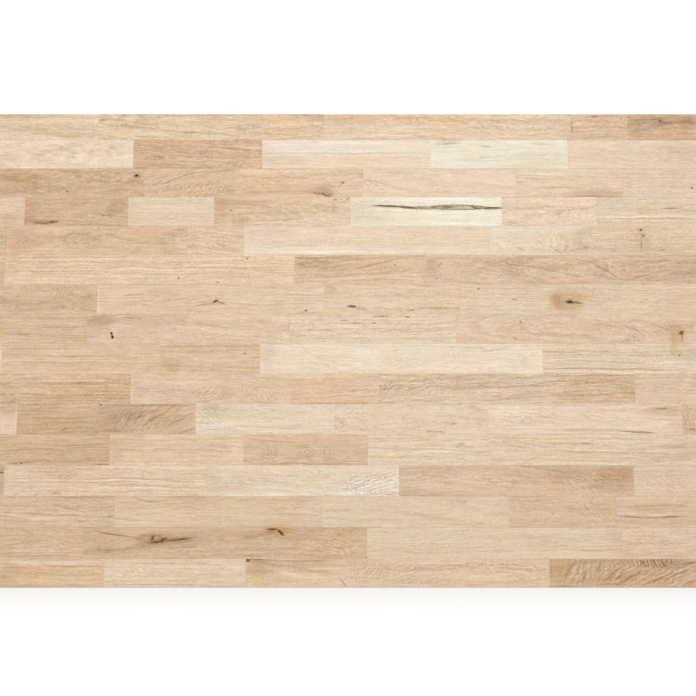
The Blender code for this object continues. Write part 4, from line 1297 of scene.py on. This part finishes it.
chalk(16, 3, "fawn", "slash", 2, -2, bold=0.9, wave=0.4, marks=(
    shade(13, 17.5, 13, 12, 0.1), shade(99, 5.5, 96, 5.1, 0.13, soft=0.7), shade(81, 5.5, 31, 5.1, 0.34),
    dash(2.5, 2.5, 3.6, 1.9, DARK, 0.95, broken=0), dash(13, 1.5, 9, 1.2, DARK, soft=0.9),
    shade(13, 3, 15, 3.1, 0.45), line(34, 1.5, 28, 1, 0.7), shade(21, 11, 23, 10, 0.4),
    stain(11, 29, 13, 6, LEMON), stain(31, 22.5, 28, 8, SAGE, 0.6), line(57, 10, 36, 2.6, 0.4, -10, soft=1),
    line(96, 16, 28, 1.8, 0.35, -8), line(70, 2.5, 46, 1.3), glint(48, 15.5, 28, 1.4, 0.7, -11),
    glint(96, 23, 33, 1.2, 0.6, -4), arcs(146, 17.5, 13, 15, 4.4, 14, 2.6, 0.8, 0.45),
    ripples(167, 13.5, 14, 13, 4.1, 42, 0.55, curve=0.006), ripples(198, 17.5, 26, 13, 4.6, 16, 0.45),
    glint(148, 20, 5.1, 1.2, 0.8, 52), glint(156, 13.5, 7.7, 1.2, 0.8, 40),
    line(125, 30.5, 5.6, 1.2, 0.8, -46, broken=0.1), line(90.5, 31.5, 3.8, 1, 0.5, 52),
    ripples(230, 27.5, 33, 5.8, 3.8, 38, 0.45), ripples(250, 10, 44, 8, 4.9, 5, 0.45),
    ripples(327, 10, 44, 8, 5.1, -6, 0.5), ripples(359, 19, 28, 12, 5.1, -4),
    stain(296, 32, 18, 3.1, ROSE, 0.9), glint(224, 6, 39, 1, 0.5, 2), glint(301, 15, 51, 1, 0.5, 2),
))
chalk(16, 4, "bark", "lined", 6, bold=0.8, mottle=0.3, slant=0.1, marks=(
    shade(95, 2.5, 91, 2.6, 0.2, soft=0.7), shade(94, 28, 91, 5.1, 0.17, soft=0.7),
    shade(158, 7.5, 28, 6, 0.25), stain(132, 24, 31, 12, HONEY), lift(33, 24, 33, 10, 0.22),
    ripples(36, 15, 19, 19, 6.2, 64, 0.6, curve=0.004), ripples(58.5, 15, 12, 19, 5.9, 84, 0.5),
    ripples(87, 16, 22, 19, 5.7, 48, 0.6, curve=-0.003), ripples(129, 20, 31, 15, 5.6, 30, 0.55),
    ripples(174, 21.5, 28, 15, 5.6, 24, 0.55), ripples(136, 5, 41, 5.4, 3.9, -58, 0.8, tint=DARK),
    gleam(30, 20, 13, 1.7, 1, 61), gleam(41, 13.5, 10, 1.4, 1, 66), gleam(50, 15, 9, 1.8, 1, 74),
    gleam(57.5, 13.5, 9, 1.4, 1, 80), gleam(88, 25, 15, 1.8, 1, 35), gleam(100, 16, 10, 1.4, 1, 38),
    gleam(119, 24, 17, 1.8, 1, 27), gleam(151, 25, 22, 1.7, 1, 19), gleam(172, 27.5, 15, 1.7, 1, 21),
    glint(129, 13.5, 15, 1, 0.5, 28), glint(168, 13.5, 17, 1, 0.5, 18),
    dash(25.5, 15, 12, 1.7, DARK, 0.5, 60), dash(44.5, 22.5, 9, 1.4, DARK, 0.5, 68),
    dash(64, 10, 7.7, 1.7, DARK, 0.5, 62), dash(80.5, 20, 12, 1.7, DARK, 0.55, 40),
    dash(109, 20, 14, 1.5, DARK, 0.55, 30), dash(93, 30, 10, 1.5, DARK, 0.5, 34),
    dash(137, 26.5, 17, 1.4, DARK, 0.55, 22), dash(163, 20, 18, 1.4, DARK, 0.55, 20),
    dash(180, 30, 9, 1.4, DARK, 0.45, 20), dash(121, 5, 5.1, 1.7, DARK, 0.6, -50),
    dash(135, 4, 5.1, 1.7, DARK, 0.6, -55), dash(147.5, 6, 5.1, 1.5, DARK, 0.5, -40),
    dash(181, 5, 9, 1.5, DARK, 0.5, 14), stain(13.5, 17.5, 12, 13, BRONZE, 0.3),
    glint(41, 17.5, 15, 1.3, 0.6, 56), glint(73, 11, 12, 1.3, 0.7, 84),
    dash(90.5, 22.5, 10, 1.8, DARK, 0.5, 34), dash(21, 33.5, 10, 1, DARK, 0.5),
    dash(80, 32.5, 15, 1, DARK, 0.45), glint(134, 25, 28, 1.4, 0.7, 26), glint(168, 15, 23, 1.4, 0.7, 24),
    line(3, 17.5, 15, 0.8, 0.5, 90),
))
tell(16)

# %% [markdown]
# ## Hollows
#
# A check or the middle of a dead knot is open. A dark spot of paint would lie flat when you look along the
# top, so the hollow is cut out of the stave. The cutter is a long thin boat with a ragged rim, whose
# sides slope in towards its keel.

# %% Cut the hollows
HOLLOW_POINTS = 36
HOLLOW_REACH = 1.0 * MM
MOUTH_SHARE = 1.2
KEEL_SHARE = 0.35
NARROWEST = 0.75


def hollow_cutter(name, centre, turn, half_long, half_wide, depth, chance):
    """A boat-shaped cutter with a ragged rim, from above the top face down to its keel."""
    block = bmesh.new()
    rim = []
    for number in range(HOLLOW_POINTS):
        angle = 2 * math.pi * number / HOLLOW_POINTS
        ragged = chance.uniform(NARROWEST, 1.0)
        x, y = half_long * math.cos(angle), half_wide * ragged * math.sin(angle)
        rim.append((x * math.cos(turn) - y * math.sin(turn), x * math.sin(turn) + y * math.cos(turn)))
    rings = []
    for share, z in ((MOUTH_SHARE, TOP + HOLLOW_REACH), (1.0, TOP), (KEEL_SHARE, TOP - depth)):
        rings.append([block.verts.new((centre[0] + x * share, centre[1] + y * share, z)) for x, y in rim])
    block.faces.new(rings[0])
    block.faces.new(reversed(rings[-1]))
    for upper, lower in zip(rings, rings[1:]):
        for i in range(HOLLOW_POINTS):
            j = (i + 1) % HOLLOW_POINTS
            block.faces.new((upper[j], upper[i], lower[i], lower[j]))
    return cutter_from(name, block)


def spot(stave, mark_made):
    """The place of a mark on the panel, in metres."""
    return stave["left"] + mark_made["x"] * MM, stave["back"] - mark_made["y"] * MM


cutters = []
opened = []
for stave in staves:
    stave["look"] = LOOKS[stave["row"], stave["place"]]
    for number, mark_made in enumerate(stave["look"]["marks"]):
        if mark_made["hollow"] is None:
            continue
        half_long, half_wide, depth = (size * MM for size in mark_made["hollow"])
        name = f"{stave['piece'].name}_hollow_{number}"
        chance = random.Random(name)
        turn = math.radians(mark_made["turn"])
        cutter = hollow_cutter(name, spot(stave, mark_made), turn, half_long, half_wide, depth, chance)
        cut_by(stave, cutter, "DIFFERENCE")
        cutters.append(cutter)
        if stave not in opened:
            opened.append(stave)
settle([stave["piece"] for stave in opened])
for cutter in cutters:
    bpy.data.objects.remove(cutter)
print(len(cutters), "hollows cut in", len(opened), "staves")

# %% [markdown]
# ## Where each stave grew
#
# Wood grows in rings round the heart of the tree, and the grain runs along it. If every point of a stave
# knows where it was in the log, then the top, the edges and the end grain all agree by themselves: lines
# on the top turn into arcs on the end. So each stave carries its place in the log as an attribute on its
# points: along the log, and across it in two directions, from the heart, in millimetres. Since this is
# only a shift and a small slant of the stave's own place, it stays exact over the largest face.
#
# The tone and the character of the stave are attributes too, so that all staves can share one oak.

# %% Write each stave's place in the log on its points
# From one stave to the next along the log, in mm, which is more than the longest stave.
LOG_STEP = 640

# No two staves are alike, so what the way of sawing gives is varied within these limits.
HEART_SPREAD = (-5, 5)
DISTANCE_SPREAD = (0.9, 1.15)
RISE_SPREAD = (0.7, 1.2)
RING_SPREAD = (0.88, 1.12)
BOLD_SPREAD = (0.92, 1.08)


def seen_colour(red, green, blue):
    """The light that a colour stands for, from its numbers on a screen, by the usual sRGB curve."""
    light = []
    for part in (red / 255, green / 255, blue / 255):
        light.append(part / 12.92 if part <= 0.04045 else ((part + 0.055) / 1.055) ** 2.4)
    return np.array(light)


def add_attribute(mesh, name, kind, values):
    """Adds an attribute with one row of values for each point."""
    attribute = mesh.attributes.new(name, kind, "POINT")
    key = "color" if kind == "FLOAT_COLOR" else "vector"
    attribute.data.foreach_set(key, np.asarray(values, np.float32).ravel())


def write_growth(number, stave):
    """Gives a stave its attributes: log_place, tone, figure and habit."""
    mesh = stave["piece"].data
    made = stave["look"]
    chance = random.Random(number)
    angle, distance, ring, rise = SAWN[made["sawn"]]
    angle = math.radians(angle + chance.uniform(*HEART_SPREAD)) * chance.choice((-1, 1))
    distance *= chance.uniform(*DISTANCE_SPREAD)
    rise *= chance.uniform(*RISE_SPREAD) * chance.choice((-1, 1))
    points = np.empty(len(mesh.vertices) * 3)
    mesh.vertices.foreach_get("co", points)
    points = points.reshape(-1, 3) / MM
    middle_x = (stave["left"] + stave["right"]) / 2 / MM
    middle_y = (stave["front"] + stave["back"]) / 2 / MM
    along = points[:, 0] - middle_x
    across = points[:, 1] - middle_y + distance * math.sin(angle) - made["slant"] * along
    up = points[:, 2] - TOP / MM + distance * math.cos(angle) + rise * along
    log_place = np.column_stack([along + LOG_STEP * number, across, up])
    add_attribute(mesh, "log_place", "FLOAT_VECTOR", log_place)

    paler = 1 + STEP * made["step"] - np.array(GOLD) * made["gold"]
    left_tone = seen_colour(*TONES[made["tone"]]) * paler
    right_tone = left_tone if made["to"] is None else seen_colour(*TONES[made["to"]]) * paler
    share = (points[:, 0] * MM - stave["left"]) / (stave["right"] - stave["left"])
    tones = left_tone + np.clip(share, 0, 1)[:, None] * (right_tone - left_tone)
    add_attribute(mesh, "tone", "FLOAT_COLOR", np.column_stack([tones, np.ones(len(tones))]))

    ring *= chance.uniform(*RING_SPREAD)
    figure = (ring, made["bold"] * chance.uniform(*BOLD_SPREAD), made["wave"])
    add_attribute(mesh, "figure", "FLOAT_VECTOR", np.tile(figure, (len(points), 1)))
    habit = (made["fleck"], made["mottle"], 0)
    add_attribute(mesh, "habit", "FLOAT_VECTOR", np.tile(habit, (len(points), 1)))


for number, stave in enumerate(staves):
    write_growth(number, stave)
known = ("log_place", "tone", "figure", "habit")
print("the first stave knows its", [name for name in known if name in staves[0]["piece"].data.attributes])

# %% [markdown]
# ## The oak
#
# Oak is ring porous. Each spring it makes a band of wide pores, which look like short dark scratches, and
# then the ring closes with dense, paler summer wood. The material follows that. The distance from the
# heart, divided by the width of a ring, counts the rings. What is left over after the whole rings says how
# far through its year the wood is. Stretched noise makes the fibres, the pores and the rays.

# %% Noise of many sizes
# For each kind of noise: the sizes of its lumps in mm along the fibres, across and up, then its detail
# and for some its roughness.
GRAIN = {
    "wander": ((230, 60, 60), 1),
    "sway": ((62, 24, 24), 1),
    "curl": ((15, 16, 16), 1),
    "uneven": ((60, 9, 9), 1),
    "seasons": ((11, 1, 1), 0),
    "gaps": ((17, 2.2, 2.2), 2),
    "fine": ((8, 1.3, 1.3), 2, 0.6),
    "tick": ((3, 1.7, 1.7), 1, 0.6),
    "streak": ((75, 1.9, 1.9), 2, 0.55),
    "band": ((30, 3.2, 3.2), 2, 0.6),
    "broad": ((330, 13, 13), 1),
    "pore": ((5, 0.42, 0.42), 0),
    "scratch": ((11, 1.2, 1.2), 0),
    "sheen": ((14, 1.3, 1.5), 0),
    "ray": ((6, 0.8, 13), 1),
    "cloud": ((9, 6, 6), 1),
    "hue": ((34, 10, 10), 1),
    "shake": ((4, 2.4, 3), 4, 0.7),
    "speck": ((4, 1.3, 1), 1),
    "stir": ((15, 8, 5), 2, 0.6),
}
# Between which two levels some kinds rise from 0 to 1, or from a third number to a fourth.
PEAKS = {
    "gaps": (0.32, 0.62, 0.15, 1.4),
    "pore": (0.58, 0.72),
    "scratch": (0.60, 0.76),
    "sheen": (0.24, 0.40, 1.0, 0.0),
    "ray": (0.56, 0.70),
    "speck": (0.40, 0.58),
}


def noise(tree, place, sizes, detail=1.0, roughness=0.5, out="Fac"):
    """Noise whose lumps have these sizes along the log, across it and up it."""
    stretched = tree.vectors("DIVIDE", place, sizes)
    sockets = {"Vector": stretched, "Scale": 1.0, "Detail": detail, "Roughness": roughness}
    return tree.node("ShaderNodeTexNoise", {"noise_dimensions": "3D"}, sockets, out)


def swing(tree, place, kind):
    """One kind of noise, as a number that swings about 0."""
    return noise(tree, place, *GRAIN[kind]) - 0.5


def swings(tree, place, kind):
    """One kind of noise, as a vector of three numbers that swing about 0."""
    return tree.vectors("SUBTRACT", noise(tree, place, *GRAIN[kind], out="Color"), (0.5, 0.5, 0.5))


def peaks(tree, place, kind):
    """One kind of noise, as a share that is high only where the noise is past its level in PEAKS."""
    return noise(tree, place, *GRAIN[kind]).ramp(*PEAKS[kind])


print(len(GRAIN), "kinds of noise, the finest", min(sizes[1] for sizes, *_ in GRAIN.values()), "mm wide")

# %% [markdown]
# ## Paint over the wood
#
# A coat of paint takes the wood's colour times its tint, inside a soft ellipse. The noise called shake
# makes its rim ragged, and speck breaks it up. The lines of ripples and arcs are bent by stir. A group of
# nodes does this, and every coat uses it again with its own sizes. There is a group for each of the three
# kinds, so that a plain coat doesn't carry the nodes for lines.

# %% Coats of paint
COAT_SIZES = ("Turn", "Long", "Wide", "Bend", "Soft", "Ragged", "Strength", "Broken")
LINE_SIZES = {
    "plain": (),
    "ripples": ("Pitch", "Phase", "Lean", "Curve"),
    "arcs": ("Pitch", "Phase", "Away X", "Away Y", "Stretch"),
}
# Rims are more ragged across the grain. Stir moves lines by up to half of STIR, in mm, and of STIR_PHASE,
# in lines. A line fades in between these two distances from a gap's middle, as shares of the pitch.
RAGGED_ACROSS = 3
STIR = 9
STIR_PHASE = 2
LINE_EDGE = (0.16, 0.42)


def coat_group(kind):
    """A group of nodes that lays one coat of paint over a colour."""
    group = bpy.data.node_groups.new(f"{kind} coat", "ShaderNodeTree")
    face = group.interface
    face.new_socket("Colour", in_out="OUTPUT", socket_type="NodeSocketColor")
    for name in ("Colour", "Tint"):
        face.new_socket(name, in_out="INPUT", socket_type="NodeSocketColor")
    for name in ("Off", "Shake", "Stir"):
        face.new_socket(name, in_out="INPUT", socket_type="NodeSocketVector")
    for name in ("Speck", *COAT_SIZES, *LINE_SIZES[kind]):
        face.new_socket(name, in_out="INPUT", socket_type="NodeSocketFloat")

    tree = Tree(group)
    given = tree.given()
    off_x, off_y, _ = given["Off"].xyz()
    shake_x, shake_y, shake_edge = given["Shake"].xyz()
    cosine, sine = given["Turn"].math("COSINE"), given["Turn"].math("SINE")
    along = off_x * cosine + off_y * sine
    across = off_y * cosine - off_x * sine - along * along * given["Bend"]
    part_x = along / given["Long"] + shake_x * given["Ragged"]
    part_y = across / given["Wide"] + shake_y * given["Ragged"] * RAGGED_ACROSS
    away = tree.length(tree.vector(part_x, part_y, 0)) + shake_edge * given["Ragged"]
    fade = given["Soft"] / 2
    mask = away.ramp(1 - fade, 1 + fade, given["Strength"], 0.0)
    mask = mask * (1 - given["Broken"] + given["Speck"] * given["Broken"])
    if kind != "plain":
        stir_x, stir_y, stir_phase = given["Stir"].xyz()
        x, y = off_x + stir_x * STIR, off_y + stir_y * STIR
        if kind == "ripples":
            lean_cosine, lean_sine = given["Lean"].math("COSINE"), given["Lean"].math("SINE")
            level = x * lean_cosine + y * lean_sine
            side = x * lean_sine - y * lean_cosine + level * level * given["Curve"]
        else:
            ring = tree.vector((x - given["Away X"]) / given["Stretch"], y - given["Away Y"], 0)
            side = tree.length(ring)
        share = (side / given["Pitch"] + stir_phase * STIR_PHASE + given["Phase"]).math("FRACT")
        mask = mask * (share - 0.5).math("ABSOLUTE").ramp(*LINE_EDGE)
    tinted = tree.vectors("MULTIPLY", given["Colour"], given["Tint"])
    tree.node("NodeGroupOutput", sockets={0: tree.mix(mask, given["Colour"], tinted)})
    return group


COATS = {kind: coat_group(kind) for kind in LINE_SIZES}
print("coats:", {kind: len(group.nodes) for kind, group in COATS.items()})


# %% Marks on a stave
def swing_round(here_x, here_y, stave):
    """How far across the stave the grain is pushed by the knots, and how far it is raised."""
    push, rise = 0.0, 0.0
    for mark_made in stave["look"]["marks"]:
        if not mark_made["flow"]:
            continue
        x, y = (place / MM for place in spot(stave, mark_made))
        away_x = (here_x - x) / mark_made["stretch"]
        away_y = here_y - y
        size = mark_made["flow"] ** 2
        near = size / (away_x * away_x + away_y * away_y + size)
        push = push + near * away_y
        rise = rise + near * mark_made["flow"]
    return push, rise


def draw_marks(tree, colour, here, stave):
    """Lays the paints of a stave's marks over its wood."""
    shake = swings(tree, here, "shake")
    speck = peaks(tree, here, "speck")
    stir = swings(tree, here, "stir")
    for mark_made in stave["look"]["marks"]:
        x, y = (place / MM for place in spot(stave, mark_made))
        off = tree.vectors("SUBTRACT", here, (x, y, 0))
        for coat in mark_made["paints"]:
            sizes = coat["sizes"]
            kind = "ripples" if "Lean" in sizes else "arcs" if "Stretch" in sizes else "plain"
            sockets = {"Colour": colour, "Off": off, "Shake": shake, "Stir": stir, "Speck": speck}
            sockets.update({"Tint": (*coat["tint"], 1), "Turn": math.radians(mark_made["turn"]), **sizes})
            colour = tree.node("ShaderNodeGroup", {"node_tree": COATS[kind]}, sockets)
    return colour


all_marks = [mark_made for stave in staves for mark_made in stave["look"]["marks"]]
print(len(all_marks), "marks;", sum(mark_made["flow"] > 0 for mark_made in all_marks), "bend the grain")

# %% [markdown]
# ## From the log to the face
#
# The oak is put together in the order in which it grows. The fibres come first. They wander a little, as
# a tree leans and turns, and swing round every knot. Then the rings are counted from the heart, across
# the fibres. A whole number of rings gives each year a strength of its own, because trees have good years
# and bad ones.

# %% Fibres and rings
# How far each kind of noise moves the fibres or the rings, in mm.
WANDER = 14
SWAY = 3
SWAY_OF_WAVE = 9
CURL = 5
UNEVEN = 2.2
SEASONS = 9
# When in the year spring wood ends and starts again, and how strong the weakest year's is.
SPRING_ENDS = 0.55
SPRING_STARTS = 0.86
WEAKEST_YEAR = 0.25


def run_fibres(tree, log_place, wave, push):
    """The place in the log with its fibres bent, how far they sway, and a slow swing of warmth."""
    along, across, up = log_place.xyz()
    wander_across, wander_up, warmth = swings(tree, log_place, "wander").xyz()
    sway = swing(tree, log_place, "sway") * (SWAY + wave * SWAY_OF_WAVE)
    across = across + wander_across * WANDER + sway - push
    return (along, across, up + wander_up * WANDER), sway, warmth


def grow_rings(tree, place, fibre, rise, ring_width, wave):
    """How strongly each ring shows, how far it is spring in it, and the distance from the heart."""
    _, across, up = place
    heart = (across * across + up * up).math("SQRT") + swing(tree, fibre, "curl") * wave * CURL + rise
    heart = heart + swing(tree, fibre, "uneven") * UNEVEN
    year = (heart + swing(tree, tree.vector(heart, 0, 0), "seasons") * SEASONS) / ring_width
    whole_year = year.math("FLOOR")
    season = year - whole_year
    spring = season.ramp(0.0, SPRING_ENDS, 1.0, 0.0).at_least(season.ramp(SPRING_STARTS, 1.0))
    good = tree.node("ShaderNodeTexWhiteNoise", {"noise_dimensions": "1D"}, {"W": whole_year}, "Value")
    ring = spring * (WEAKEST_YEAR + (1 - WEAKEST_YEAR) * good) * peaks(tree, fibre, "gaps")
    return ring, spring, heart


print("spring wood takes", round(1 - SPRING_STARTS + SPRING_ENDS, 2), "of each year")

# %% [markdown]
# The rest of the grain is a list of parts, each with its own noise and its own share in how dark the wood
# is. Rays run from the heart outwards, so their noise is read by the angle round it. Where the saw meets
# the rays side on, they show as pale flecks.

# %% Parts of the grain
DARKENS = {
    "fine": 0.24, "tick": 0.40, "streak": 0.15, "band": 0.36, "broad": 0.23,
    "pore": 0.07, "scratch": 0.10, "sheen": -0.10, "ray": -0.09, "cloud": 0.30,
}
RING_DARKENS = 0.14
RING_LEVEL = 0.025
SUMMER_PORES = 0.25
RAY_RADIUS = 150
DARKER = (1.0, 1.16, 1.36)
SLOW_WARMTH = (0.06, -0.06, -0.20)
PATCH_WARMTH = (0.06, -0.05, -0.22)
PATCH_GREEN = (0.0, 0.08, 0.0)


def grain_parts(tree, place, fibre, spring, heart, fleck, mottle):
    """Every part of the grain by its name, each as a number that is larger where the part is stronger."""
    along, across, up = place
    parts = {kind: swing(tree, fibre, kind) for kind in ("fine", "tick", "streak", "band", "broad")}
    parts["pore"] = peaks(tree, fibre, "pore") * (SUMMER_PORES + (1 - SUMMER_PORES) * spring)
    parts["scratch"] = peaks(tree, fibre, "scratch")
    parts["sheen"] = peaks(tree, fibre, "sheen")
    round_heart = tree.vector(along, across.math("ARCTAN2", up) * RAY_RADIUS, heart)
    parts["ray"] = peaks(tree, round_heart, "ray") * fleck
    parts["cloud"] = swing(tree, fibre, "cloud") * mottle
    return parts


def darken(tree, tone, ring, parts, bold):
    """The tone of a stave, made darker and browner by its rings and the parts of its grain."""
    dark = ring * RING_DARKENS - RING_LEVEL
    for kind, part in parts.items():
        dark = dark + part * DARKENS[kind]
    left = tree.vectors("SUBTRACT", (1, 1, 1), tree.vectors("SCALE", DARKER, dark * bold))
    return tree.vectors("MULTIPLY", tone, left)


def vary_hue(tree, colour, fibre, warmth):
    """Makes a colour warmer in some places and greener in others."""
    patch_warm, patch_green, _ = swings(tree, fibre, "hue").xyz()
    shares = []
    for slow, warm, green in zip(SLOW_WARMTH, PATCH_WARMTH, PATCH_GREEN):
        shares.append(1 + warmth * slow + patch_warm * warm + patch_green * green)
    return tree.vectors("MULTIPLY", colour, tree.vector(*shares))


print("parts of the grain:", ", ".join(DARKENS))

# %% [markdown]
# The finish brings it all together. End grain drinks more light than the face, so a surface that looks
# along the log is darker. The marks reach a few millimetres down. The pores are dull and lie a little
# deeper, and the rays shine.

# %% Bare sanded oak
END_DARKENS = (0.20, 0.25, 0.32)
END_SLANT = (0.35, 0.9)
MARK_DEPTH = 7.0
ROUGHNESS = 0.60
ROUGHER = {"pore": 0.14, "ray": -0.08, "fine": 0.10}
SPECULAR = 0.35
BUMP_STRENGTH = 0.55
BUMP_HEIGHT = 0.05 * MM
FIBRE_HEIGHT = 0.5


def attribute(tree, name, out="Vector"):
    """What a stave's attribute says at a point."""
    return tree.node("ShaderNodeAttribute", {"attribute_name": name}, out=out)


def oak(name, stave=None):
    """Bare sanded oak. With a stave given, its marks are drawn in it."""
    material = bpy.data.materials.new(name)
    material.use_nodes = True
    tree = Tree(material.node_tree)
    shader = material.node_tree.nodes["Principled BSDF"]
    ring_width, bold, wave = attribute(tree, "figure").xyz()
    fleck, mottle, _ = attribute(tree, "habit").xyz()
    coordinates = tree.node("ShaderNodeTexCoord", out="Object")
    here_x, here_y, here_z = tree.vectors("SCALE", coordinates, 1 / MM).xyz()

    push, rise = swing_round(here_x, here_y, stave) if stave else (0.0, 0.0)
    place, sway, warmth = run_fibres(tree, attribute(tree, "log_place"), wave, push)
    fibre = tree.vector(*place)
    ring, spring, heart = grow_rings(tree, place, fibre, rise, ring_width, wave)
    parts = grain_parts(tree, place, fibre, spring, heart, fleck, mottle)
    colour = darken(tree, attribute(tree, "tone", "Color"), ring, parts, bold)
    colour = vary_hue(tree, colour, fibre, warmth)

    normal = Signal(tree, coordinates.socket.node.outputs["Normal"])
    end_on = tree.vectors("ABSOLUTE", normal, (0, 0, 0)).xyz()[0].ramp(*END_SLANT)
    end_tint = tree.vectors("SUBTRACT", (1, 1, 1), tree.vectors("SCALE", END_DARKENS, end_on))
    colour = tree.vectors("MULTIPLY", colour, end_tint)
    if stave:
        painted = draw_marks(tree, colour, tree.vector(here_x, here_y + sway, 0), stave)
        shallow = here_z.ramp(TOP / MM - MARK_DEPTH, TOP / MM - MARK_DEPTH / 2)
        colour = tree.mix(shallow, colour, painted)

    roughness = ROUGHNESS
    for kind, share in ROUGHER.items():
        roughness = roughness + parts[kind] * share
    relief = parts["fine"] * FIBRE_HEIGHT - parts["pore"]
    sockets = {"Strength": BUMP_STRENGTH, "Distance": BUMP_HEIGHT, "Height": relief}
    bump = tree.node("ShaderNodeBump", sockets=sockets, out="Normal")
    for socket, signal in (("Base Color", colour), ("Roughness", roughness), ("Normal", bump)):
        material.node_tree.links.new(signal.socket, shader.inputs[socket])
    shader.inputs["Specular IOR Level"].default_value = SPECULAR
    return material


plain_oak = oak("oak")
print(len(plain_oak.node_tree.nodes), "nodes in plain oak")

# %% Lay the oak through every stave
marked = 0
for stave in staves:
    finish = plain_oak
    if stave["look"]["marks"]:
        finish = oak(f"oak_{stave['piece'].name}", stave)
        marked += 1
    stave["piece"].data.materials.clear()
    stave["piece"].data.materials.append(finish)
print(marked, "staves have marks of their own, and", len(staves) - marked, "share the plain oak")

# %% [markdown]
# ## Putting the staves in the panel's place
#
# Each stave rides on the panel's only body and stands for the row that it belongs to.

# %% Hand over the pieces
for stave in staves:
    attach(stave["piece"], "root")
    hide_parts(stave["node"])
print(len(staves), "pieces on the panel")

# %% [markdown]
# ## Floor, light and camera
#
# The photograph looks down on the top against plain white, with soft even light. The floor is white to
# the camera, and keeps a faint shadow. The light falls at a plain level, at which a colour renders
# about as it is written.

# %% The floor
FLOOR_SIZE = 12.0
FLOOR_WHITE = 0.86
FLOOR_MOTTLE = 0.01
FLOOR_LUMPS = (0.4, 0.4, 0.4)
FLOOR_ROUGHNESS = 0.9
SHADOW_SHARE = 0.30
GLOW = 1.07


def seen_share(tree):
    """1 for the rays that reach the camera, straight or by a mirror or through glass, and 0 for light."""
    rays = tree.node("ShaderNodeLightPath")
    kinds = rays.socket.node.outputs
    seen = rays
    for kind in ("Is Glossy Ray", "Is Transmission Ray"):
        seen = seen + Signal(tree, kinds[kind])
    return seen.at_most(1)


def floor_finish():
    """White for the camera, with only a share of the shadow that falls on it."""
    material = bpy.data.materials.new("white floor")
    material.use_nodes = True
    tree = Tree(material.node_tree)
    shader = material.node_tree.nodes["Principled BSDF"]
    output = material.node_tree.nodes["Material Output"]
    shader.inputs["Roughness"].default_value = FLOOR_ROUGHNESS
    shader.inputs["Specular IOR Level"].default_value = 0.0
    lumps = noise(tree, tree.node("ShaderNodeTexCoord", out="Object"), FLOOR_LUMPS)
    grey = lumps.ramp(0.3, 0.7, FLOOR_WHITE - FLOOR_MOTTLE, FLOOR_WHITE + FLOOR_MOTTLE)
    material.node_tree.links.new(tree.vector(grey, grey, grey).socket, shader.inputs["Base Color"])
    glow = tree.node("ShaderNodeEmission", sockets={"Color": (1, 1, 1, 1), "Strength": GLOW})
    share = seen_share(tree) * (1 - SHADOW_SHARE)
    mixed = tree.node("ShaderNodeMixShader", sockets={0: share, 1: Signal(tree, shader.outputs[0]), 2: glow})
    material.node_tree.links.new(mixed.socket, output.inputs["Surface"])
    return material


def floor_sheet():
    """A large sheet just under the panel."""
    half = FLOOR_SIZE / 2
    corners = [(-half, -half, 0), (half, -half, 0), (half, half, 0), (-half, half, 0)]
    mesh = bpy.data.meshes.new("floor")
    mesh.from_pydata(corners, [], [(0, 1, 2, 3)])
    mesh.materials.append(floor_finish())
    thing = bpy.data.objects.new("floor", mesh)
    bpy.context.scene.collection.objects.link(thing)
    return thing


floor = floor_sheet()
floor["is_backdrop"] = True
print("floor, m:", FLOOR_SIZE)

# %% The light
SKY_LEVEL = 0.62
SUN_LEVEL = 1.42
SUN_SPREAD = 50
SUN_FROM = Vector((-0.45, 0.35, 1.0))

scene = bpy.context.scene
world = bpy.data.worlds.new("studio")
world.use_nodes = True
backdrop = world.node_tree.nodes["Background"]
backdrop.inputs["Color"].default_value = (1, 1, 1, 1)
sky = Tree(world.node_tree)
sky_strength = SKY_LEVEL + seen_share(sky) * (1 - SKY_LEVEL)
world.node_tree.links.new(sky_strength.socket, backdrop.inputs["Strength"])
scene.world = world
sun_data = bpy.data.lights.new("key light", "SUN")
sun_data.energy = SUN_LEVEL
sun_data.angle = math.radians(SUN_SPREAD)
sun = bpy.data.objects.new("key light", sun_data)
sun.rotation_euler = SUN_FROM.to_track_quat("Z", "Y").to_euler()
scene.collection.objects.link(sun)
print("light falls from", [round(part, 2) for part in SUN_FROM.normalized()])

# %% The camera
CAMERA_PLACE = Vector((0.0, -0.2508, 1.5818))
CAMERA_AIM = Vector((0.0, -0.0063, 0.038))
CAMERA_LENS = 61.1
CAMERA_REACH = 50

camera_data = bpy.data.cameras.new("camera")
camera_data.lens = CAMERA_LENS
camera_data.clip_end = CAMERA_REACH
camera = bpy.data.objects.new("camera", camera_data)
camera.location = CAMERA_PLACE
camera.rotation_euler = (CAMERA_AIM - CAMERA_PLACE).to_track_quat("-Z", "Y").to_euler()
scene.collection.objects.link(camera)
scene.camera = camera
scene.view_settings.view_transform = "Standard"
slope = math.degrees(math.asin((CAMERA_PLACE - CAMERA_AIM).normalized().z))
print("camera looks down by", round(slope, 1), "degrees")

# %% Measure what renders
low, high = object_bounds()
print("visual size, mm:", [round(size / MM, 2) for size in high - low])
